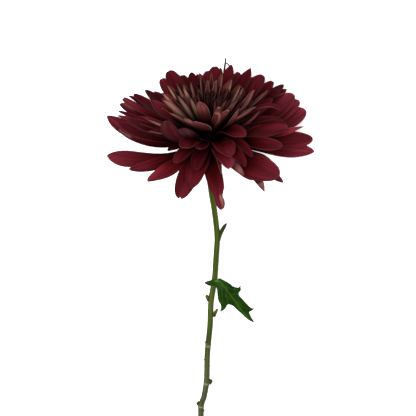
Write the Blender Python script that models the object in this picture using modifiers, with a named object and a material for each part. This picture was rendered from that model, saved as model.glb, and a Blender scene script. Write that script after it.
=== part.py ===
"""A cut disbud chrysanthemum laid on a table: one large bloom on a stem with a single leaf.

Metres, +Z up. The stem runs along Y with the bloom at the +Y end, whose face is turned up by FACE_TILT.
The lower florets are bent where they meet the table, and the last third of the stem lies on it.
"""
import math
import random

import bmesh
import bpy
from mathutils import Vector
from mathutils.geometry import delaunay_2d_cdt, interpolate_bezier

MM = 0.001
SEED = 20
SEAT_GAP = 0.3 * MM
WELD = 0.01 * MM
SHARP_ANGLE = math.radians(40)

# The bloom: its middle, where the florets' roots meet, and the directions along its axis,
# to the right, and from its middle to the side that the face turns up
FACE_TILT = math.radians(30)
BLOOM_PLACE = Vector((-1.0, 73.6, 46.0)) * MM
AXIS = Vector((0, math.cos(FACE_TILT), math.sin(FACE_TILT)))
RIGHT = Vector((1, 0, 0))
NEAR = Vector((0, -math.sin(FACE_TILT), math.cos(FACE_TILT)))

# Where the flower is looked at from, above the table
EYE = Vector((-1.7, 27.8, 824.0)) * MM

# All places below are measured on the flower as it lies. At the end it is moved by this much, so that the
# origin is on the table at the middle of its footprint.
FOOTPRINT_SHIFT = Vector((0.3, 1.4, 0.0)) * MM

# A floret's blade: its thickness, the steps in which its middle line is followed, the shares of its length
# at which it has a section, its width at the root as a share of the widest, where along it the widest place
# is, how much further for each step of slimness, and the powers that round a blunt tip and a pointed one
FLORET_THICKNESS = 0.9 * MM
MARCH_STEPS = 24
OUTER_STATIONS = (0, 1 / 3, 2 / 3, 11 / 12)
INNER_STATIONS = (0, 1 / 2, 11 / 12)
ROOT_WIDTH = 0.36
WIDEST_PLACE = 0.62
WIDEST_STEP = 0.07
LEAST_SLIM = 0.2
ROUND_TIP = 0.4
POINTED_TIP = 0.9

# The cone between the burgundy outer florets and the pale inner ones: its tip on the axis and its slope
CONE_TIP = 1.0 * MM
CONE_SLOPE = math.tan(math.radians(41))
CONE_ROOM = 1.3 * MM

# The receptacle, as (distance from the axis, height along it)
OUTER_CORE_RIM = 10.0 * MM
OUTER_CORE_BELLY = (11.5 * MM, 3.0 * MM)
OUTER_CORE_FOOT = (8.0 * MM, -5.0 * MM)
INNER_CORE_TOP = 13.0 * MM
INNER_CORE_SHOULDER = (6.0 * MM, 10.0 * MM)
INNER_CORE_RIM = 8.5 * MM
CORE_SIDES = 20

# Where the florets' roots are sunk in the receptacle: their distance from the axis, and their heights for
# florets that are lifted from it by the first and the second of these angles in degrees
OUTER_ROOT_RADIUS = 8.0 * MM
OUTER_ROOT_LIFTS = (-30, 35)
OUTER_ROOT_HEIGHTS = (-3.0 * MM, 5.0 * MM)
INNER_ROOT_RADIUS = 6.0 * MM
INNER_ROOT_LIFTS = (40, 90)
INNER_ROOT_HEIGHTS = (7.0 * MM, 10.0 * MM)

# Table contact: florets ease down on to it over this height, and what is this near it lies flat on it
TABLE_EASE = 6 * MM
TABLE_LEVEL = 0.5 * MM
FLAT_BELOW = 1.1 * MM

# The involucre: a green cup under the florets, with two rows of bracts on it
CUP_PROFILE = [(0, -5.3), (8.0, -5.3), (7.6, -8.5), (5.2, -11.5), (2.9, -13.2), (0, -13.2)]
BRACTS = 12
BRACT_LENGTH = 11 * MM
BRACT_WIDTH = 4.2 * MM
BRACT_CUP = math.radians(35)
BRACT_ARCH = math.radians(28)
BRACT_POINT = 0.9
BRACT_STATIONS = (0, 1 / 2, 5 / 6)
# The rows, as (distance from the axis in mm, height along it in mm, lift in degrees, share of the length)
BRACT_ROWS = [(4.5, -8.6, 6, 1.0), (3.5, -10.2, -2, 0.85)]

# The stem: its middle line from the bloom to the cut end, and its radius
STEM_LINE = [(-0.7, 61.9, 39.2), (0.1, 43.0, 28.3), (2.9, 25.0, 19.0), (4.7, 8.0, 11.5), (4.2, -3.5, 8.0),
             (3.7, -12.0, 6.0), (2.9, -22.5, 4.3), (0.7, -36.0, 2.9), (0.0, -46.0, 2.1), (-0.3, -56.0, 1.8),
             (-1.3, -66.0, 1.8), (-2.3, -77.5, 1.8), (-2.5, -89.0, 1.8), (-2.9, -96.5, 1.8),
             (-4.5, -106.0, 1.8), (-6.6, -112.5, 1.8), (-6.8, -119.5, 1.8), (-7.2, -131.5, 1.8)]
STEM_RADIUS = 1.95 * MM
STEM_NECK = 2.4 * MM
STEM_NECK_POINTS = 3
STEM_SIDES = 10
# Buds on the stem, as (foot, tip, radius at the foot, radius at the tip) in mm
BUDS = [
    ((-1.2, -38.3, 3.0), (-2.9, -34.4, 3.6), 1.2, 1.3), ((1.8, -49.0, 2.4), (5.1, -43.8, 3.0), 1.7, 0.7),
    ((-2.2, -70.0, 3.3), (-2.9, -67.0, 3.5), 1.5, 1.2), ((-2.6, -81.0, 2.0), (-4.8, -80.0, 2.0), 0.9, 0.4),
    ((-1.3, -96.0, 2.5), (0.9, -94.8, 2.6), 2.4, 1.1), ((-7.5, -112.1, 2.2), (-9.4, -110.5, 2.4), 2.0, 1.1),
    ((-6.0, -116.7, 2.0), (-4.4, -115.9, 2.0), 1.2, 0.6)]
BUD_SIDES = 7
BUD_LEAST_HEIGHT = 0.3 * MM
# The narrow bract on the upper stem, by its middle line and its half widths in mm
SPUR_LINE = [(4.9, 1.5, 9.6), (6.0, 6.0, 11.6), (7.3, 10.6, 13.4), (10.0, 15.2, 15.2), (11.3, 17.2, 15.8)]
SPUR_HALF_WIDTHS = (1.0, 1.2, 1.5, 1.2)
SPUR_THICKNESS = 1.0 * MM

# The leaf, in mm from where it grows: its cut edge, its midrib, how high its upper side is along the
# midrib as (distance, height), and how far it falls away from the midrib
LEAF_PLACE = Vector((2.9, -22.7, 0.0)) * MM
LEAF_THICKNESS = 0.9 * MM
LEAF_EDGE = [(-7.5, -2.2), (-4.8, -1), (-2, -0.3), (0, 0.2), (2, 0.2), (3.8, 0.9), (6, -0.2), (8.8, -1.8),
             (11.2, -3.3), (12.8, -4.8), (14.7, -5.5), (16.9, -5.9), (17.9, -4.8), (19.1, -4), (18.4, -5.6),
             (18.8, -7.5), (17.2, -9.4), (17.4, -11.6), (20.4, -14.8), (22.9, -17.6), (25, -19.8),
             (26.4, -20.8), (28.3, -21), (26.9, -22.5), (25, -23.4), (24.7, -24), (26, -26.8), (27.4, -29.2),
             (28.2, -30.3), (27.6, -31), (26, -30.2), (24, -29.1), (21.3, -26.8), (19.1, -24.6),
             (16.4, -22.2), (13.7, -19.4), (12, -18.4), (10, -17.8), (9, -18.4), (7.7, -20.6), (6.3, -22.2),
             (4.7, -22.8), (3, -23.7), (4.2, -22.2), (4.6, -20), (4.2, -17.8), (3, -15.9), (2.3, -13.5),
             (2, -10.2), (1.7, -6.9), (1, -5.3), (0, -4.4), (-2, -4.5), (-4, -4.4), (-6.2, -3.3)]
LEAF_MIDRIB = [(0, -1.2), (2.2, -1.2), (4.2, -1.9), (5.5, -3.4), (8.2, -6.9), (11.5, -11.3), (14.7, -15.9),
               (16.9, -18.9), (20.4, -23.5), (24, -27.6)]
LEAF_HEIGHTS = [(0, 7.45), (4, 8.6), (12, 8.5), (24, 5.8), (34, 2.8), (44, 0.9)]
LEAF_FALL = 0.22
LEAF_FALL_FROM = 12

# Florets placed by hand, where the flower's look depends on them. Each is its tip as seen from EYE, in mm
# to the right of the bloom's middle and along the flower, its reach from that middle in mm (negative on
# the far side), its width in mm, how far it is cupped, bent up and turned to the viewer in degrees, how
# pointed it is, from 0 to 1, and for some how far it bows sideways in degrees and how slim its lower half is.
SKIRT = [
    (-69, 18, 72, 15, 20, 52, 30, 0.7, -24), (-62, 13, 66, 13, 25, 45, 20, 0.3, -16),
    (-61, 9, 64, 13, 25, 48, 30, 0.3, -26), (-55, 14, 60, 13, 25, 30, 15, 0.4, -12),
    (-70, -9, 71, 13, 20, 45, 45, 0.7, -34, 2), (-54, -19, 66, 10, 25, 35, 40, 0.7, -6),
    (-41, -28, 66, 11, 25, 10, 20, 0.1, -8), (-20, -40, 65, 16, 25, -25, 5, 0.05, -8),
    (-12, -33, 58, 13, 20, -30, 0, 0.3), (-6, -25, 46, 9, 25, -30, 0, 0.2),
    (10, -48, 67, 12, 25, -45, 0, 0.1, 24, -2), (8, -24, 55, 5, 50, -40, -60, 0.5),
    (14, -20, 50, 13, 25, -40, 0, 0.2), (24, -19, 52, 9, 40, -55, 10, 0.3),
    (48, -25, 67, 21, 20, 5, 30, 0, 28), (50, -29, 68, 8, 30, -10, 30, 0.3),
    (38, -35, 66, 6, 30, 15, 20, 1, -45, 1), (24, -23, 54, 6, 45, 10, 20, 0.4),
    (32, -27, 50, 15, 25, -15, 20, 0.2), (71, -8, 73, 15, 25, 10, 30, 0.3),
    (70, 1, 72, 16, 20, 15, 35, 0.3), (64, 9, 69, 5, 50, 30, 60, 0.9, -25),
    (49, -5, 60, 12, 30, -5, 25, 0), (53, 8, 60, 15, 25, -10, 35, 0.05),
    (65, 21, -71, 22, 20, 35, 20, 0.25), (61, 27, -69, 17, 20, 30, 20, 0.2),
    (57, 32, -68, 20, 20, 40, 20, 0.3), (52, 35, -67, 11, 30, 20, 10, 0.4),
    (50, 38, -67, 12, 25, 20, 0, 0.3), (43, 40, -64, 12, 30, 20, 0, 0.2),
    (36, 44, -63, 15, 25, 15, 0, 0.1), (31, 43, -60, 11, 30, 15, 0, 0.3),
    (28, 49, -63, 12, 30, 10, 0, 0.9), (20, 46, -60, 11, 30, 15, 0, 0.3),
    (15, 51, -63, 12, 30, 10, 0, 0.8), (8, 49, -61, 6, 40, 15, 0, 0.6),
    (4, 50, -62, 12, 30, 15, 0, 0.1), (-1, 47, -60, 11, 30, 15, 0, 0.2),
    (-7, 45, -60, 12, 30, 20, 0, 0.2), (-12, 46, -60, 11, 25, 20, 0, 0.3),
    (-18, 44, -60, 12, 25, 20, 0, 0.2), (-21, 44, -60, 9, 30, 15, 0, 0.2),
    (-27, 47, -60, 13, 20, 15, 15, 0), (-32, 42, -59, 12, 25, 20, 10, 0.1),
    (-37, 33, -58, 11, 30, 20, 0, 0.3), (-43, 34, -60, 12, 30, 20, 0, 0.3),
    (-51, 31, -62, 11, 30, 15, 0, 0.3), (-54, 30, -64, 10, 40, 15, 0, 0.4),
    (-58, 29, -66, 8, 30, 20, 10, 0.1, -10), (-60, 25, -66, 11, 30, 20, 10, 0.2, -8),
    (-61, 20, 66, 8, 35, 20, 10, 0.4, -12), (-62, 17, 66, 7, 40, 10, 10, 0.5, -12),
]
FRONT = [
    (-29, 15, 47, 13, 30, 110, -60, 0, -25), (-42, 14, 55, 7, 90, 15, 0, 0.5),
    (-41, 6, 50, 7, 80, 10, 0, 0.6), (-19, 8, 48, 11, 40, 35, -35, 0.3),
    (-17, -8, 44, 13, 45, -40, 10, 0.15), (-7, -8, 43, 10, 50, -25, 20, 0.3),
    (15, -12, 46, 14, 30, -45, 10, 0.05), (24, 1, 45, 12, 40, -60, 20, 0.1),
    (29, -13, 47, 8, 45, -80, 0, 0.2), (-9, -21, 49, 10, 30, -40, 0, 0),
    (-23, -16, 50, 10, 30, -30, 10, 0.15), (44, 21, 54, 8, 60, -40, 0, 0.2),
    (46, 12, 54, 10, 45, -30, 0, 0.3), (34, 20, 48, 8, 60, 45, 0, 0.6),
]
HEART = [
    (-32, 19, 46, 11, 85, 20, -20, 0.4), (-31, 27, 46, 13, 85, 20, -20, 0.35),
    (-32, 32, 48, 10, 95, 20, 0, 0.45), (-28, 37, 47, 9, 110, 20, 0, 0.6),
    (-22, 39, 46, 9, 110, 20, 0, 0.5), (-17, 35, 43, 10, 100, 20, 0, 0.4),
    (-21, 30, 42, 10, 90, 20, 0, 0.5), (-13, 29, 40, 7, 115, 20, 0, 0.6),
    (-16, 15, 45, 10, 70, 35, 0, 0.45), (-9, 10, 41, 15, 48, 35, 0, 0.2, -8),
    (-24, 13, 50, 7, 80, 15, 0, 0.5), (-6, 26, 44, 11, 60, 20, 0, 0.75),
    (5, 19, 48, 9, 100, 40, -60, 0.1), (7, 20, 39, 9, 80, 35, 0, 0), (13, 20, 42, 9, 70, 10, 0, 0.4),
    (20, 22, 42, 7, 80, 60, 0, 0.6), (31, 22, 48, 11, 65, 20, 0, 0.4), (30, 34, 50, 11, 75, 48, 0, 0.4),
    (39, 34, 54, 7, 60, 50, 0, 0.7), (-17, 37, 43, 8, 120, 20, 0, 0.5),
    (-12, 39, 43, 8, 120, 20, 0, 0.5), (-5, 43, 45, 8, 130, 15, 0, 0.6),
    (-1, 40, 42, 7, 120, 15, 0, 0.5), (2, 45, 46, 8, 130, 15, 0, 0.6), (5, 40, 42, 7, 120, 15, 0, 0.5),
    (9, 45, 47, 9, 130, 10, 0, 0.6), (15, 41, 45, 11, 95, 20, 0, 0.5), (21, 37, 44, 10, 95, 20, 0, 0.4),
    (23, 35, 43, 9, 100, 20, 0, 0.5), (19, 26, 40, 9, 90, 10, 0, 0.5),
]


# A hand-placed floret's tip lies at least this far before or behind the bloom's middle
LEAST_DEPTH = 4 * MM

# The rings of florets behind and among them, as (count, lift in degrees, reach, width, cup and bend in
# degrees, azimuth of the first in radians, bare pairs of azimuths in degrees)
OUTER_RINGS = [
    (18, -18, 42, 13, 25, -25, 0.0, [(-120, 105)]), (20, -20, 66, 13, 20, -22, 0.1, [(-125, 125)]),
    (16, -2, 46, 13, 25, 0, 0.1, [(-95, 50)]), (14, 11, 44, 12, 30, 10, 0.2, [(-80, 80)]),
    (14, 25, 40, 11, 35, 15, 0.0, [(-70, 70)]),
]
INNER_RINGS = [
    (16, 47, 32, 7.5, 70, 12, 0.0, [(-70, 75)]), (14, 58, 30, 6.5, 75, 12, 0.15, [(-60, 70)]),
    (13, 68, 28, 5.5, 80, 12, 0.1, [(-30, 30)]), (10, 78, 24, 4.5, 80, 10, 0.0, []),
    (5, 86, 20, 4.0, 80, 5, 0.0, []),
]
# How much the florets of a ring differ from each other: by up to so much of the space between two, by up to
# so many degrees, or between these shares of the given size
SPACING_CHANGE = 0.3
LIFT_CHANGE = 6
ARCH_CHANGE = 18
TURN_CHANGE = 25
SWEEP_CHANGE = 14
REACHES = (0.88, 1.08)
WIDTHS = (0.85, 1.15)
CUPS = (0.7, 1.3)
POINTS = (0.1, 0.8)

# Colour and roughness of each piece
FINISHES = {
    "outer_florets": ("burgundy_florets", (0.10, 0.008, 0.016), 0.6),
    "inner_florets": ("pale_florets", (0.20, 0.09, 0.07), 0.65),
    "involucre": ("bract_green", (0.05, 0.10, 0.02), 0.6),
    "stem": ("stem_green", (0.08, 0.12, 0.02), 0.55),
    "leaf": ("leaf_green", (0.012, 0.05, 0.005), 0.5),
}


class Floret:
    """One strap-shaped floret: where it grows, which way, how it bends and how wide it is."""

    def __init__(self, azimuth, lift, length, width, cup, arch, twist, point, root, sweep=0.0, slim=0.0):
        self.azimuth = azimuth
        self.lift = lift
        self.length = length
        self.width = width
        self.cup = cup
        self.arch = arch
        self.twist = twist
        self.point = point
        self.root = root
        self.sweep = sweep
        self.slim = slim


def around(azimuth):
    """The direction straight out from the bloom's axis at an azimuth, 0 being the near side."""
    return NEAR * math.cos(azimuth) + RIGHT * math.sin(azimuth)


def spine(floret):
    """Points, sideways directions and normals along the floret's middle, bent where it meets the table."""
    point = BLOOM_PLACE + around(floret.azimuth) * floret.root[0] + AXIS * floret.root[1]
    found = []
    for i in range(MARCH_STEPS + 1):
        share = i / MARCH_STEPS
        azimuth = floret.azimuth + floret.sweep * (share - 0.5)
        lift = floret.lift + floret.arch * share
        ahead = around(azimuth) * math.cos(lift) + AXIS * math.sin(lift)
        fall = max(point.z - TABLE_LEVEL, 0.0) / TABLE_EASE
        if -ahead.z > fall:
            ahead = Vector((ahead.x, ahead.y, -fall)).normalized()
        laid = max(0.0, 1.0 - fall)
        normal = ahead.cross(around(azimuth + math.pi / 2)).normalized() * (1 - laid) + Vector((0, 0, laid))
        normal = (normal - ahead * normal.dot(ahead)).normalized()
        side = normal.cross(ahead)
        turn = floret.twist * share * (1 - laid)
        turned = side * math.cos(turn) + normal * math.sin(turn)
        found.append((point.copy(), turned, ahead.cross(turned)))
        point = point + ahead * floret.length / MARCH_STEPS
    return found


def part_way(value, ends):
    """How far a value is from the first of two ends to the second, from 0 to 1."""
    return min(1.0, max(0.0, (value - ends[0]) / (ends[1] - ends[0])))


def half_width(floret, share):
    """Half the floret's width: a narrow claw, the widest place past the middle, and a rounded tip."""
    widest = WIDEST_PLACE + WIDEST_STEP * floret.slim
    rise = math.sin(0.5 * math.pi * min(share / widest, 1.0))
    spread = (ROOT_WIDTH + (1 - ROOT_WIDTH) * rise) * max(rise, LEAST_SLIM) ** max(floret.slim, 0)
    past = part_way(share, (widest, 1.0))
    power = ROUND_TIP + (POINTED_TIP - ROUND_TIP) * floret.point
    return 0.5 * floret.width * spread * (1 - past * past) ** power


def cone_height(radius):
    """How far along the axis the cone between the two sorts of florets is, at a distance from the axis."""
    return CONE_TIP + CONE_SLOPE * radius


def over_cone(place, inner):
    """How far a point must move along the axis to reach its own side of the cone between the florets."""
    offset = place - BLOOM_PLACE
    height = offset.dot(AXIS)
    limit = cone_height((offset - AXIS * height).length)
    if inner:
        return max(0.0, limit - height)
    return min(0.0, limit - CONE_ROOM - height)


def on_table(points):
    """Lays points near the table flat on it, and keeps the rib of the face, the second point, above them."""
    laid = [Vector((p.x, p.y, 0.0 if p.z < FLAT_BELOW else p.z)) for p in points]
    if len(points) > 1 and laid[3].z == 0.0:
        laid[1].z = max(points[1].z, FLORET_THICKNESS)
    return laid


def loft(name, sections, tip):
    """A closed blade through sections of four points, which are an edge, the face's rib, the other edge
    and the back's rib, ending in a tip. Both sides are split along the same diagonals, so that a thin
    blade doesn't cross itself."""
    verts = [point for section in sections for point in section] + [tip]
    faces = [(0, 3, 1), (1, 3, 2)]
    for a in range(0, 4 * (len(sections) - 1), 4):
        b = a + 4
        faces += [(a, a + 1, b + 1), (a, b + 1, b), (a + 1, a + 2, b + 1), (a + 2, b + 2, b + 1)]
        faces += [(a, b + 3, a + 3), (a, b, b + 3), (a + 3, b + 3, a + 2), (a + 2, b + 3, b + 2)]
    last = 4 * (len(sections) - 1)
    faces += [(last + k, last + (k + 1) % 4, len(verts) - 1) for k in range(4)]
    mesh = bpy.data.meshes.new(name)
    mesh.from_pydata(verts, [], faces)
    return mesh


def floret_mesh(floret, stations, inner):
    line = spine(floret)
    sections = []
    for share in stations:
        place, side, normal = line[round(share * MARCH_STEPS)]
        half = half_width(floret, share)
        out = side * half * math.sin(floret.cup) / floret.cup
        up = normal * half * (1 - math.cos(floret.cup)) / floret.cup
        rise = normal * FLORET_THICKNESS * 0.5
        corners = [place - out + up, place + rise, place + out + up, place - rise]
        moves = [over_cone(corner, inner) for corner in corners]
        moves[1] = moves[3] = max(moves[1], moves[3], key=abs)
        sections.append(on_table([corner + AXIS * move for corner, move in zip(corners, moves)]))
    tip = line[-1][0]
    return loft("floret", sections, on_table([tip + AXIS * over_cone(tip, inner)])[0])


def outer_root(lift):
    """Where an outer floret grows, as (distance from the axis, height): the lower its lift, the lower."""
    low, high = OUTER_ROOT_HEIGHTS
    return OUTER_ROOT_RADIUS, low + (high - low) * part_way(math.degrees(lift), OUTER_ROOT_LIFTS)


def inner_root(lift):
    """Where an inner floret grows, on the domed middle."""
    low, high = INNER_ROOT_HEIGHTS
    share = part_way(math.degrees(lift), INNER_ROOT_LIFTS)
    return INNER_ROOT_RADIUS * math.cos(0.5 * math.pi * share), low + (high - low) * share


def aimed(root_of, across, up, reach, width, cup, arch, turn, point, sweep=0, slim=0):
    """A floret whose tip is seen from EYE at a chosen place."""
    seen = Vector((across, up, 0)) * MM
    near = math.sqrt(max((reach * MM) ** 2 - seen.length_squared, LEAST_DEPTH ** 2))
    near = math.copysign(near, reach)
    middle = BLOOM_PLACE - EYE
    shrink = 1 + near / middle.z
    target = Vector(((seen.x + middle.x) * shrink - middle.x, (seen.y + middle.y) * shrink - middle.y, near))
    target.z = max(target.z, TABLE_LEVEL - BLOOM_PLACE.z)
    azimuth = math.atan2(target.dot(RIGHT), target.dot(NEAR))
    root = root_of(math.asin(target.dot(AXIS) / target.length))
    chord = target - around(azimuth) * root[0] - AXIS * root[1]
    lift = math.atan2(chord.dot(AXIS), chord.dot(around(azimuth)))
    bend = math.radians(arch)
    length = chord.length * (0.5 * bend / math.sin(0.5 * bend) if bend else 1.0)
    twist = math.copysign(math.radians(turn), across * turn)
    return Floret(azimuth, lift - 0.5 * bend, length, width * MM, math.radians(cup), bend, twist, point, root,
                  math.radians(sweep), slim)


def ring(chance, root_of, count, lift, reach, width, cup, arch, start, bare):
    """A ring of florets at nearly equal azimuths, but for those between any of the bare pairs of degrees."""
    florets = []
    for k in range(count):
        azimuth = start + 2 * math.pi * (k + chance.uniform(-SPACING_CHANGE, SPACING_CHANGE)) / count
        tilt = math.radians(lift + chance.uniform(-LIFT_CHANGE, LIFT_CHANGE))
        length = reach * chance.uniform(*REACHES) * MM
        bend = math.radians(arch + chance.uniform(-ARCH_CHANGE, ARCH_CHANGE))
        breadth = width * chance.uniform(*WIDTHS) * MM
        turn = math.radians(chance.uniform(-TURN_CHANGE, TURN_CHANGE))
        bowl = math.radians(cup * chance.uniform(*CUPS))
        point = chance.uniform(*POINTS)
        sweep = math.radians(chance.uniform(-SWEEP_CHANGE, SWEEP_CHANGE))
        where = (math.degrees(azimuth) + 180) % 360 - 180
        if not any(first < where < last for first, last in bare):
            florets.append(Floret(azimuth, tilt - 0.5 * bend, length, breadth, bowl, bend, turn, point,
                                  root_of(tilt), sweep))
    return florets


def all_florets(chance, root_of, placed, rings):
    """The hand-placed florets of one node and then those of its rings."""
    florets = [aimed(root_of, *row) for row in placed]
    for row in rings:
        florets += ring(chance, root_of, *row)
    return florets


def new_object(name, mesh, collection):
    obj = bpy.data.objects.new(name, mesh)
    collection.objects.link(obj)
    return obj


def faced_out(mesh, weld=0.0):
    """Turns the faces of a closed mesh outwards, after welding points that lie this near each other."""
    work = bmesh.new()
    work.from_mesh(mesh)
    if weld:
        bmesh.ops.remove_doubles(work, verts=work.verts, dist=weld)
    bmesh.ops.recalc_face_normals(work, faces=work.faces)
    work.to_mesh(mesh)
    work.free()


def plain_mesh(obj):
    """Replaces an object by one with its evaluated mesh, placed in world space."""
    bpy.context.view_layer.update()
    graph = bpy.context.evaluated_depsgraph_get()
    mesh = bpy.data.meshes.new_from_object(obj.evaluated_get(graph))
    mesh.transform(obj.matrix_world)
    made = new_object(obj.name, mesh, obj.users_collection[0])
    name = obj.name
    bpy.data.objects.remove(obj)
    made.name = name
    return made


def turned_about_axis(name, profile, collection):
    """A solid turned about the bloom's axis from a profile of (distance from it, height along it)."""
    mesh = bpy.data.meshes.new(name)
    corners = [(radius, 0, height) for radius, height in profile]
    mesh.from_pydata(corners, [(k, k + 1) for k in range(len(profile) - 1)], [])
    obj = new_object(name, mesh, collection)
    screw = obj.modifiers.new("turn", "SCREW")
    screw.steps = CORE_SIDES
    screw.render_steps = CORE_SIDES
    screw.use_merge_vertices = True
    screw.merge_threshold = WELD
    obj.location = BLOOM_PLACE
    obj.rotation_euler = (FACE_TILT - math.pi / 2, 0, 0)
    made = plain_mesh(obj)
    faced_out(made.data)
    return made


def fused(body, meshes):
    """The body with all the meshes joined to it by one Boolean union."""
    extras = bpy.data.collections.new("extras")
    bpy.context.scene.collection.children.link(extras)
    for k, mesh in enumerate(meshes):
        faced_out(mesh)
        new_object(f"extra_{k}", mesh, extras)
    union = body.modifiers.new("join", "BOOLEAN")
    union.operation = "UNION"
    union.operand_type = "COLLECTION"
    union.collection = extras
    union.solver = "MANIFOLD"
    made = plain_mesh(body)
    for obj in list(extras.objects):
        bpy.data.objects.remove(obj)
    bpy.data.collections.remove(extras)
    keep_main_skin(made)
    return made


def keep_main_skin(obj):
    """Fills the hollows that the union sealed and drops loose scraps, by keeping only the largest skin."""
    work = bmesh.new()
    work.from_mesh(obj.data)
    left = set(work.verts)
    largest = set()
    while left:
        grown = {left.pop()}
        front = list(grown)
        while front:
            vert = front.pop()
            for edge in vert.link_edges:
                other = edge.other_vert(vert)
                if other in left:
                    left.discard(other)
                    grown.add(other)
                    front.append(other)
        largest = max(largest, grown, key=len)
    bmesh.ops.delete(work, geom=[v for v in work.verts if v not in largest], context="VERTS")
    work.to_mesh(obj.data)
    work.free()


def smooth_line(points, steps):
    """Points along a smooth curve through the given ones."""
    corners = [Vector(p) * MM for p in points]
    line = [corners[0]]
    for k in range(len(corners) - 1):
        before = corners[max(k - 1, 0)]
        after = corners[min(k + 2, len(corners) - 1)]
        start_handle = corners[k] + (corners[k + 1] - before) / 6
        end_handle = corners[k + 1] - (after - corners[k]) / 6
        line += interpolate_bezier(corners[k], start_handle, end_handle, corners[k + 1], steps + 1)[1:]
    return line


def stem_object(collection):
    """The stem as a round tube, thickened where it joins the bloom, with its buds and its bract."""
    line = smooth_line(STEM_LINE, 2)
    curve = bpy.data.curves.new("stem", "CURVE")
    curve.dimensions = "3D"
    curve.bevel_depth = STEM_RADIUS
    curve.bevel_resolution = (STEM_SIDES - 4) // 2
    curve.use_fill_caps = True
    spline = curve.splines.new("POLY")
    spline.points.add(len(line) - 1)
    for k, point in enumerate(line):
        spline.points[k].co = (*point, 1)
        neck = max(0.0, 1 - k / STEM_NECK_POINTS) ** 2
        spline.points[k].radius = 1 + (STEM_NECK / STEM_RADIUS - 1) * neck
    stem = plain_mesh(new_object("stem", curve, collection))
    faced_out(stem.data, weld=WELD)
    for vert in stem.data.vertices:
        vert.co.z = max(vert.co.z, 0.0)
    return fused(stem, [bud_mesh(*bud) for bud in BUDS] + [spur_mesh()])


def bud_mesh(foot, tip, foot_radius, tip_radius):
    """A bud as a blunt cone from its foot to its tip, all in mm."""
    foot, tip = Vector(foot) * MM, Vector(tip) * MM
    work = bmesh.new()
    bmesh.ops.create_cone(work, cap_ends=True, segments=BUD_SIDES, radius1=foot_radius * MM,
                          radius2=tip_radius * MM, depth=(tip - foot).length)
    mesh = bpy.data.meshes.new("bud")
    work.to_mesh(mesh)
    work.free()
    turn = (tip - foot).to_track_quat("Z", "Y").to_matrix().to_4x4()
    turn.translation = (foot + tip) / 2
    mesh.transform(turn)
    for vert in mesh.vertices:
        vert.co.z = max(vert.co.z, BUD_LEAST_HEIGHT)
    return mesh


def spur_mesh():
    """The narrow bract as a blade along its middle line."""
    sections = []
    points = [Vector(p) * MM for p in SPUR_LINE]
    for k, place in enumerate(points[:-1]):
        ahead = (points[k + 1] - place).normalized()
        side = ahead.cross(Vector((0, 0, 1))).normalized() * SPUR_HALF_WIDTHS[k] * MM
        rise = side.cross(ahead).normalized() * SPUR_THICKNESS / 2
        sections.append([place - side, place + rise, place + side, place - rise])
    return loft("spur", sections, points[-1])


def involucre_object(collection):
    """The green cup with an inner and an outer row of pointed bracts that lie against the florets."""
    cup = turned_about_axis("involucre", [(r * MM, h * MM) for r, h in CUP_PROFILE], collection)
    blades = []
    for row, (radius, height, lift, length) in enumerate(BRACT_ROWS):
        for k in range(BRACTS):
            azimuth = 2 * math.pi * (k + 0.5 * row) / BRACTS
            bract = Floret(azimuth, math.radians(lift), BRACT_LENGTH * length, BRACT_WIDTH, BRACT_CUP,
                           BRACT_ARCH, 0.0, BRACT_POINT, (radius * MM, height * MM))
            blades.append(floret_mesh(bract, BRACT_STATIONS, False))
    return fused(cup, blades)


def leaf_height(x, y):
    """The height of the leaf's upper side: it follows the midrib's arch and falls away to both sides."""
    nearest = None
    along = 0.0
    for (ax, ay), (bx, by) in zip(LEAF_MIDRIB, LEAF_MIDRIB[1:]):
        run = math.hypot(bx - ax, by - ay)
        share = min(1.0, max(0.0, ((x - ax) * (bx - ax) + (y - ay) * (by - ay)) / run ** 2))
        off = math.hypot(x - ax - share * (bx - ax), y - ay - share * (by - ay))
        if nearest is None or off < nearest[0]:
            nearest = (off, along + share * run)
        along += run
    off, along = nearest
    along += math.hypot(x, y) if x < 0 else 0.0
    for (start, low), (end, high) in zip(LEAF_HEIGHTS, LEAF_HEIGHTS[1:]):
        if along <= end:
            break
    share = min(1.0, (along - start) / (end - start))
    ridge = low + (high - low) * share
    return max(ridge - LEAF_FALL * off * min(1.0, along / LEAF_FALL_FROM), LEAF_THICKNESS / MM)


def leaf_object(collection):
    """The leaf's cut outline filled with triangles that meet along its midrib, and given its thickness."""
    outline = [Vector(p) for p in LEAF_EDGE]
    rib = [Vector(p) for p in LEAF_MIDRIB]
    loop = [(k, (k + 1) % len(outline)) for k in range(len(outline))]
    ridge = [(len(outline) + k, len(outline) + k + 1) for k in range(len(rib) - 1)]
    whole = [list(range(len(outline)))]
    points, _, triangles, *_ = delaunay_2d_cdt(outline + rib, loop + ridge, whole, 1, 0.001)
    work = bmesh.new()
    sheet = [work.verts.new((p.x * MM, p.y * MM, leaf_height(p.x, p.y) * MM)) for p in points]
    for triangle in triangles:
        work.faces.new([sheet[k] for k in triangle])
    mesh = bpy.data.meshes.new("leaf")
    work.to_mesh(mesh)
    work.free()
    leaf = new_object("leaf", mesh, collection)
    leaf.location = LEAF_PLACE
    thick = leaf.modifiers.new("thickness", "SOLIDIFY")
    thick.thickness = LEAF_THICKNESS
    thick.offset = -1
    leaf = plain_mesh(leaf)
    faced_out(leaf.data)
    for vert in leaf.data.vertices:
        vert.co.z = max(vert.co.z, 0.0)
    return leaf


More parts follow.
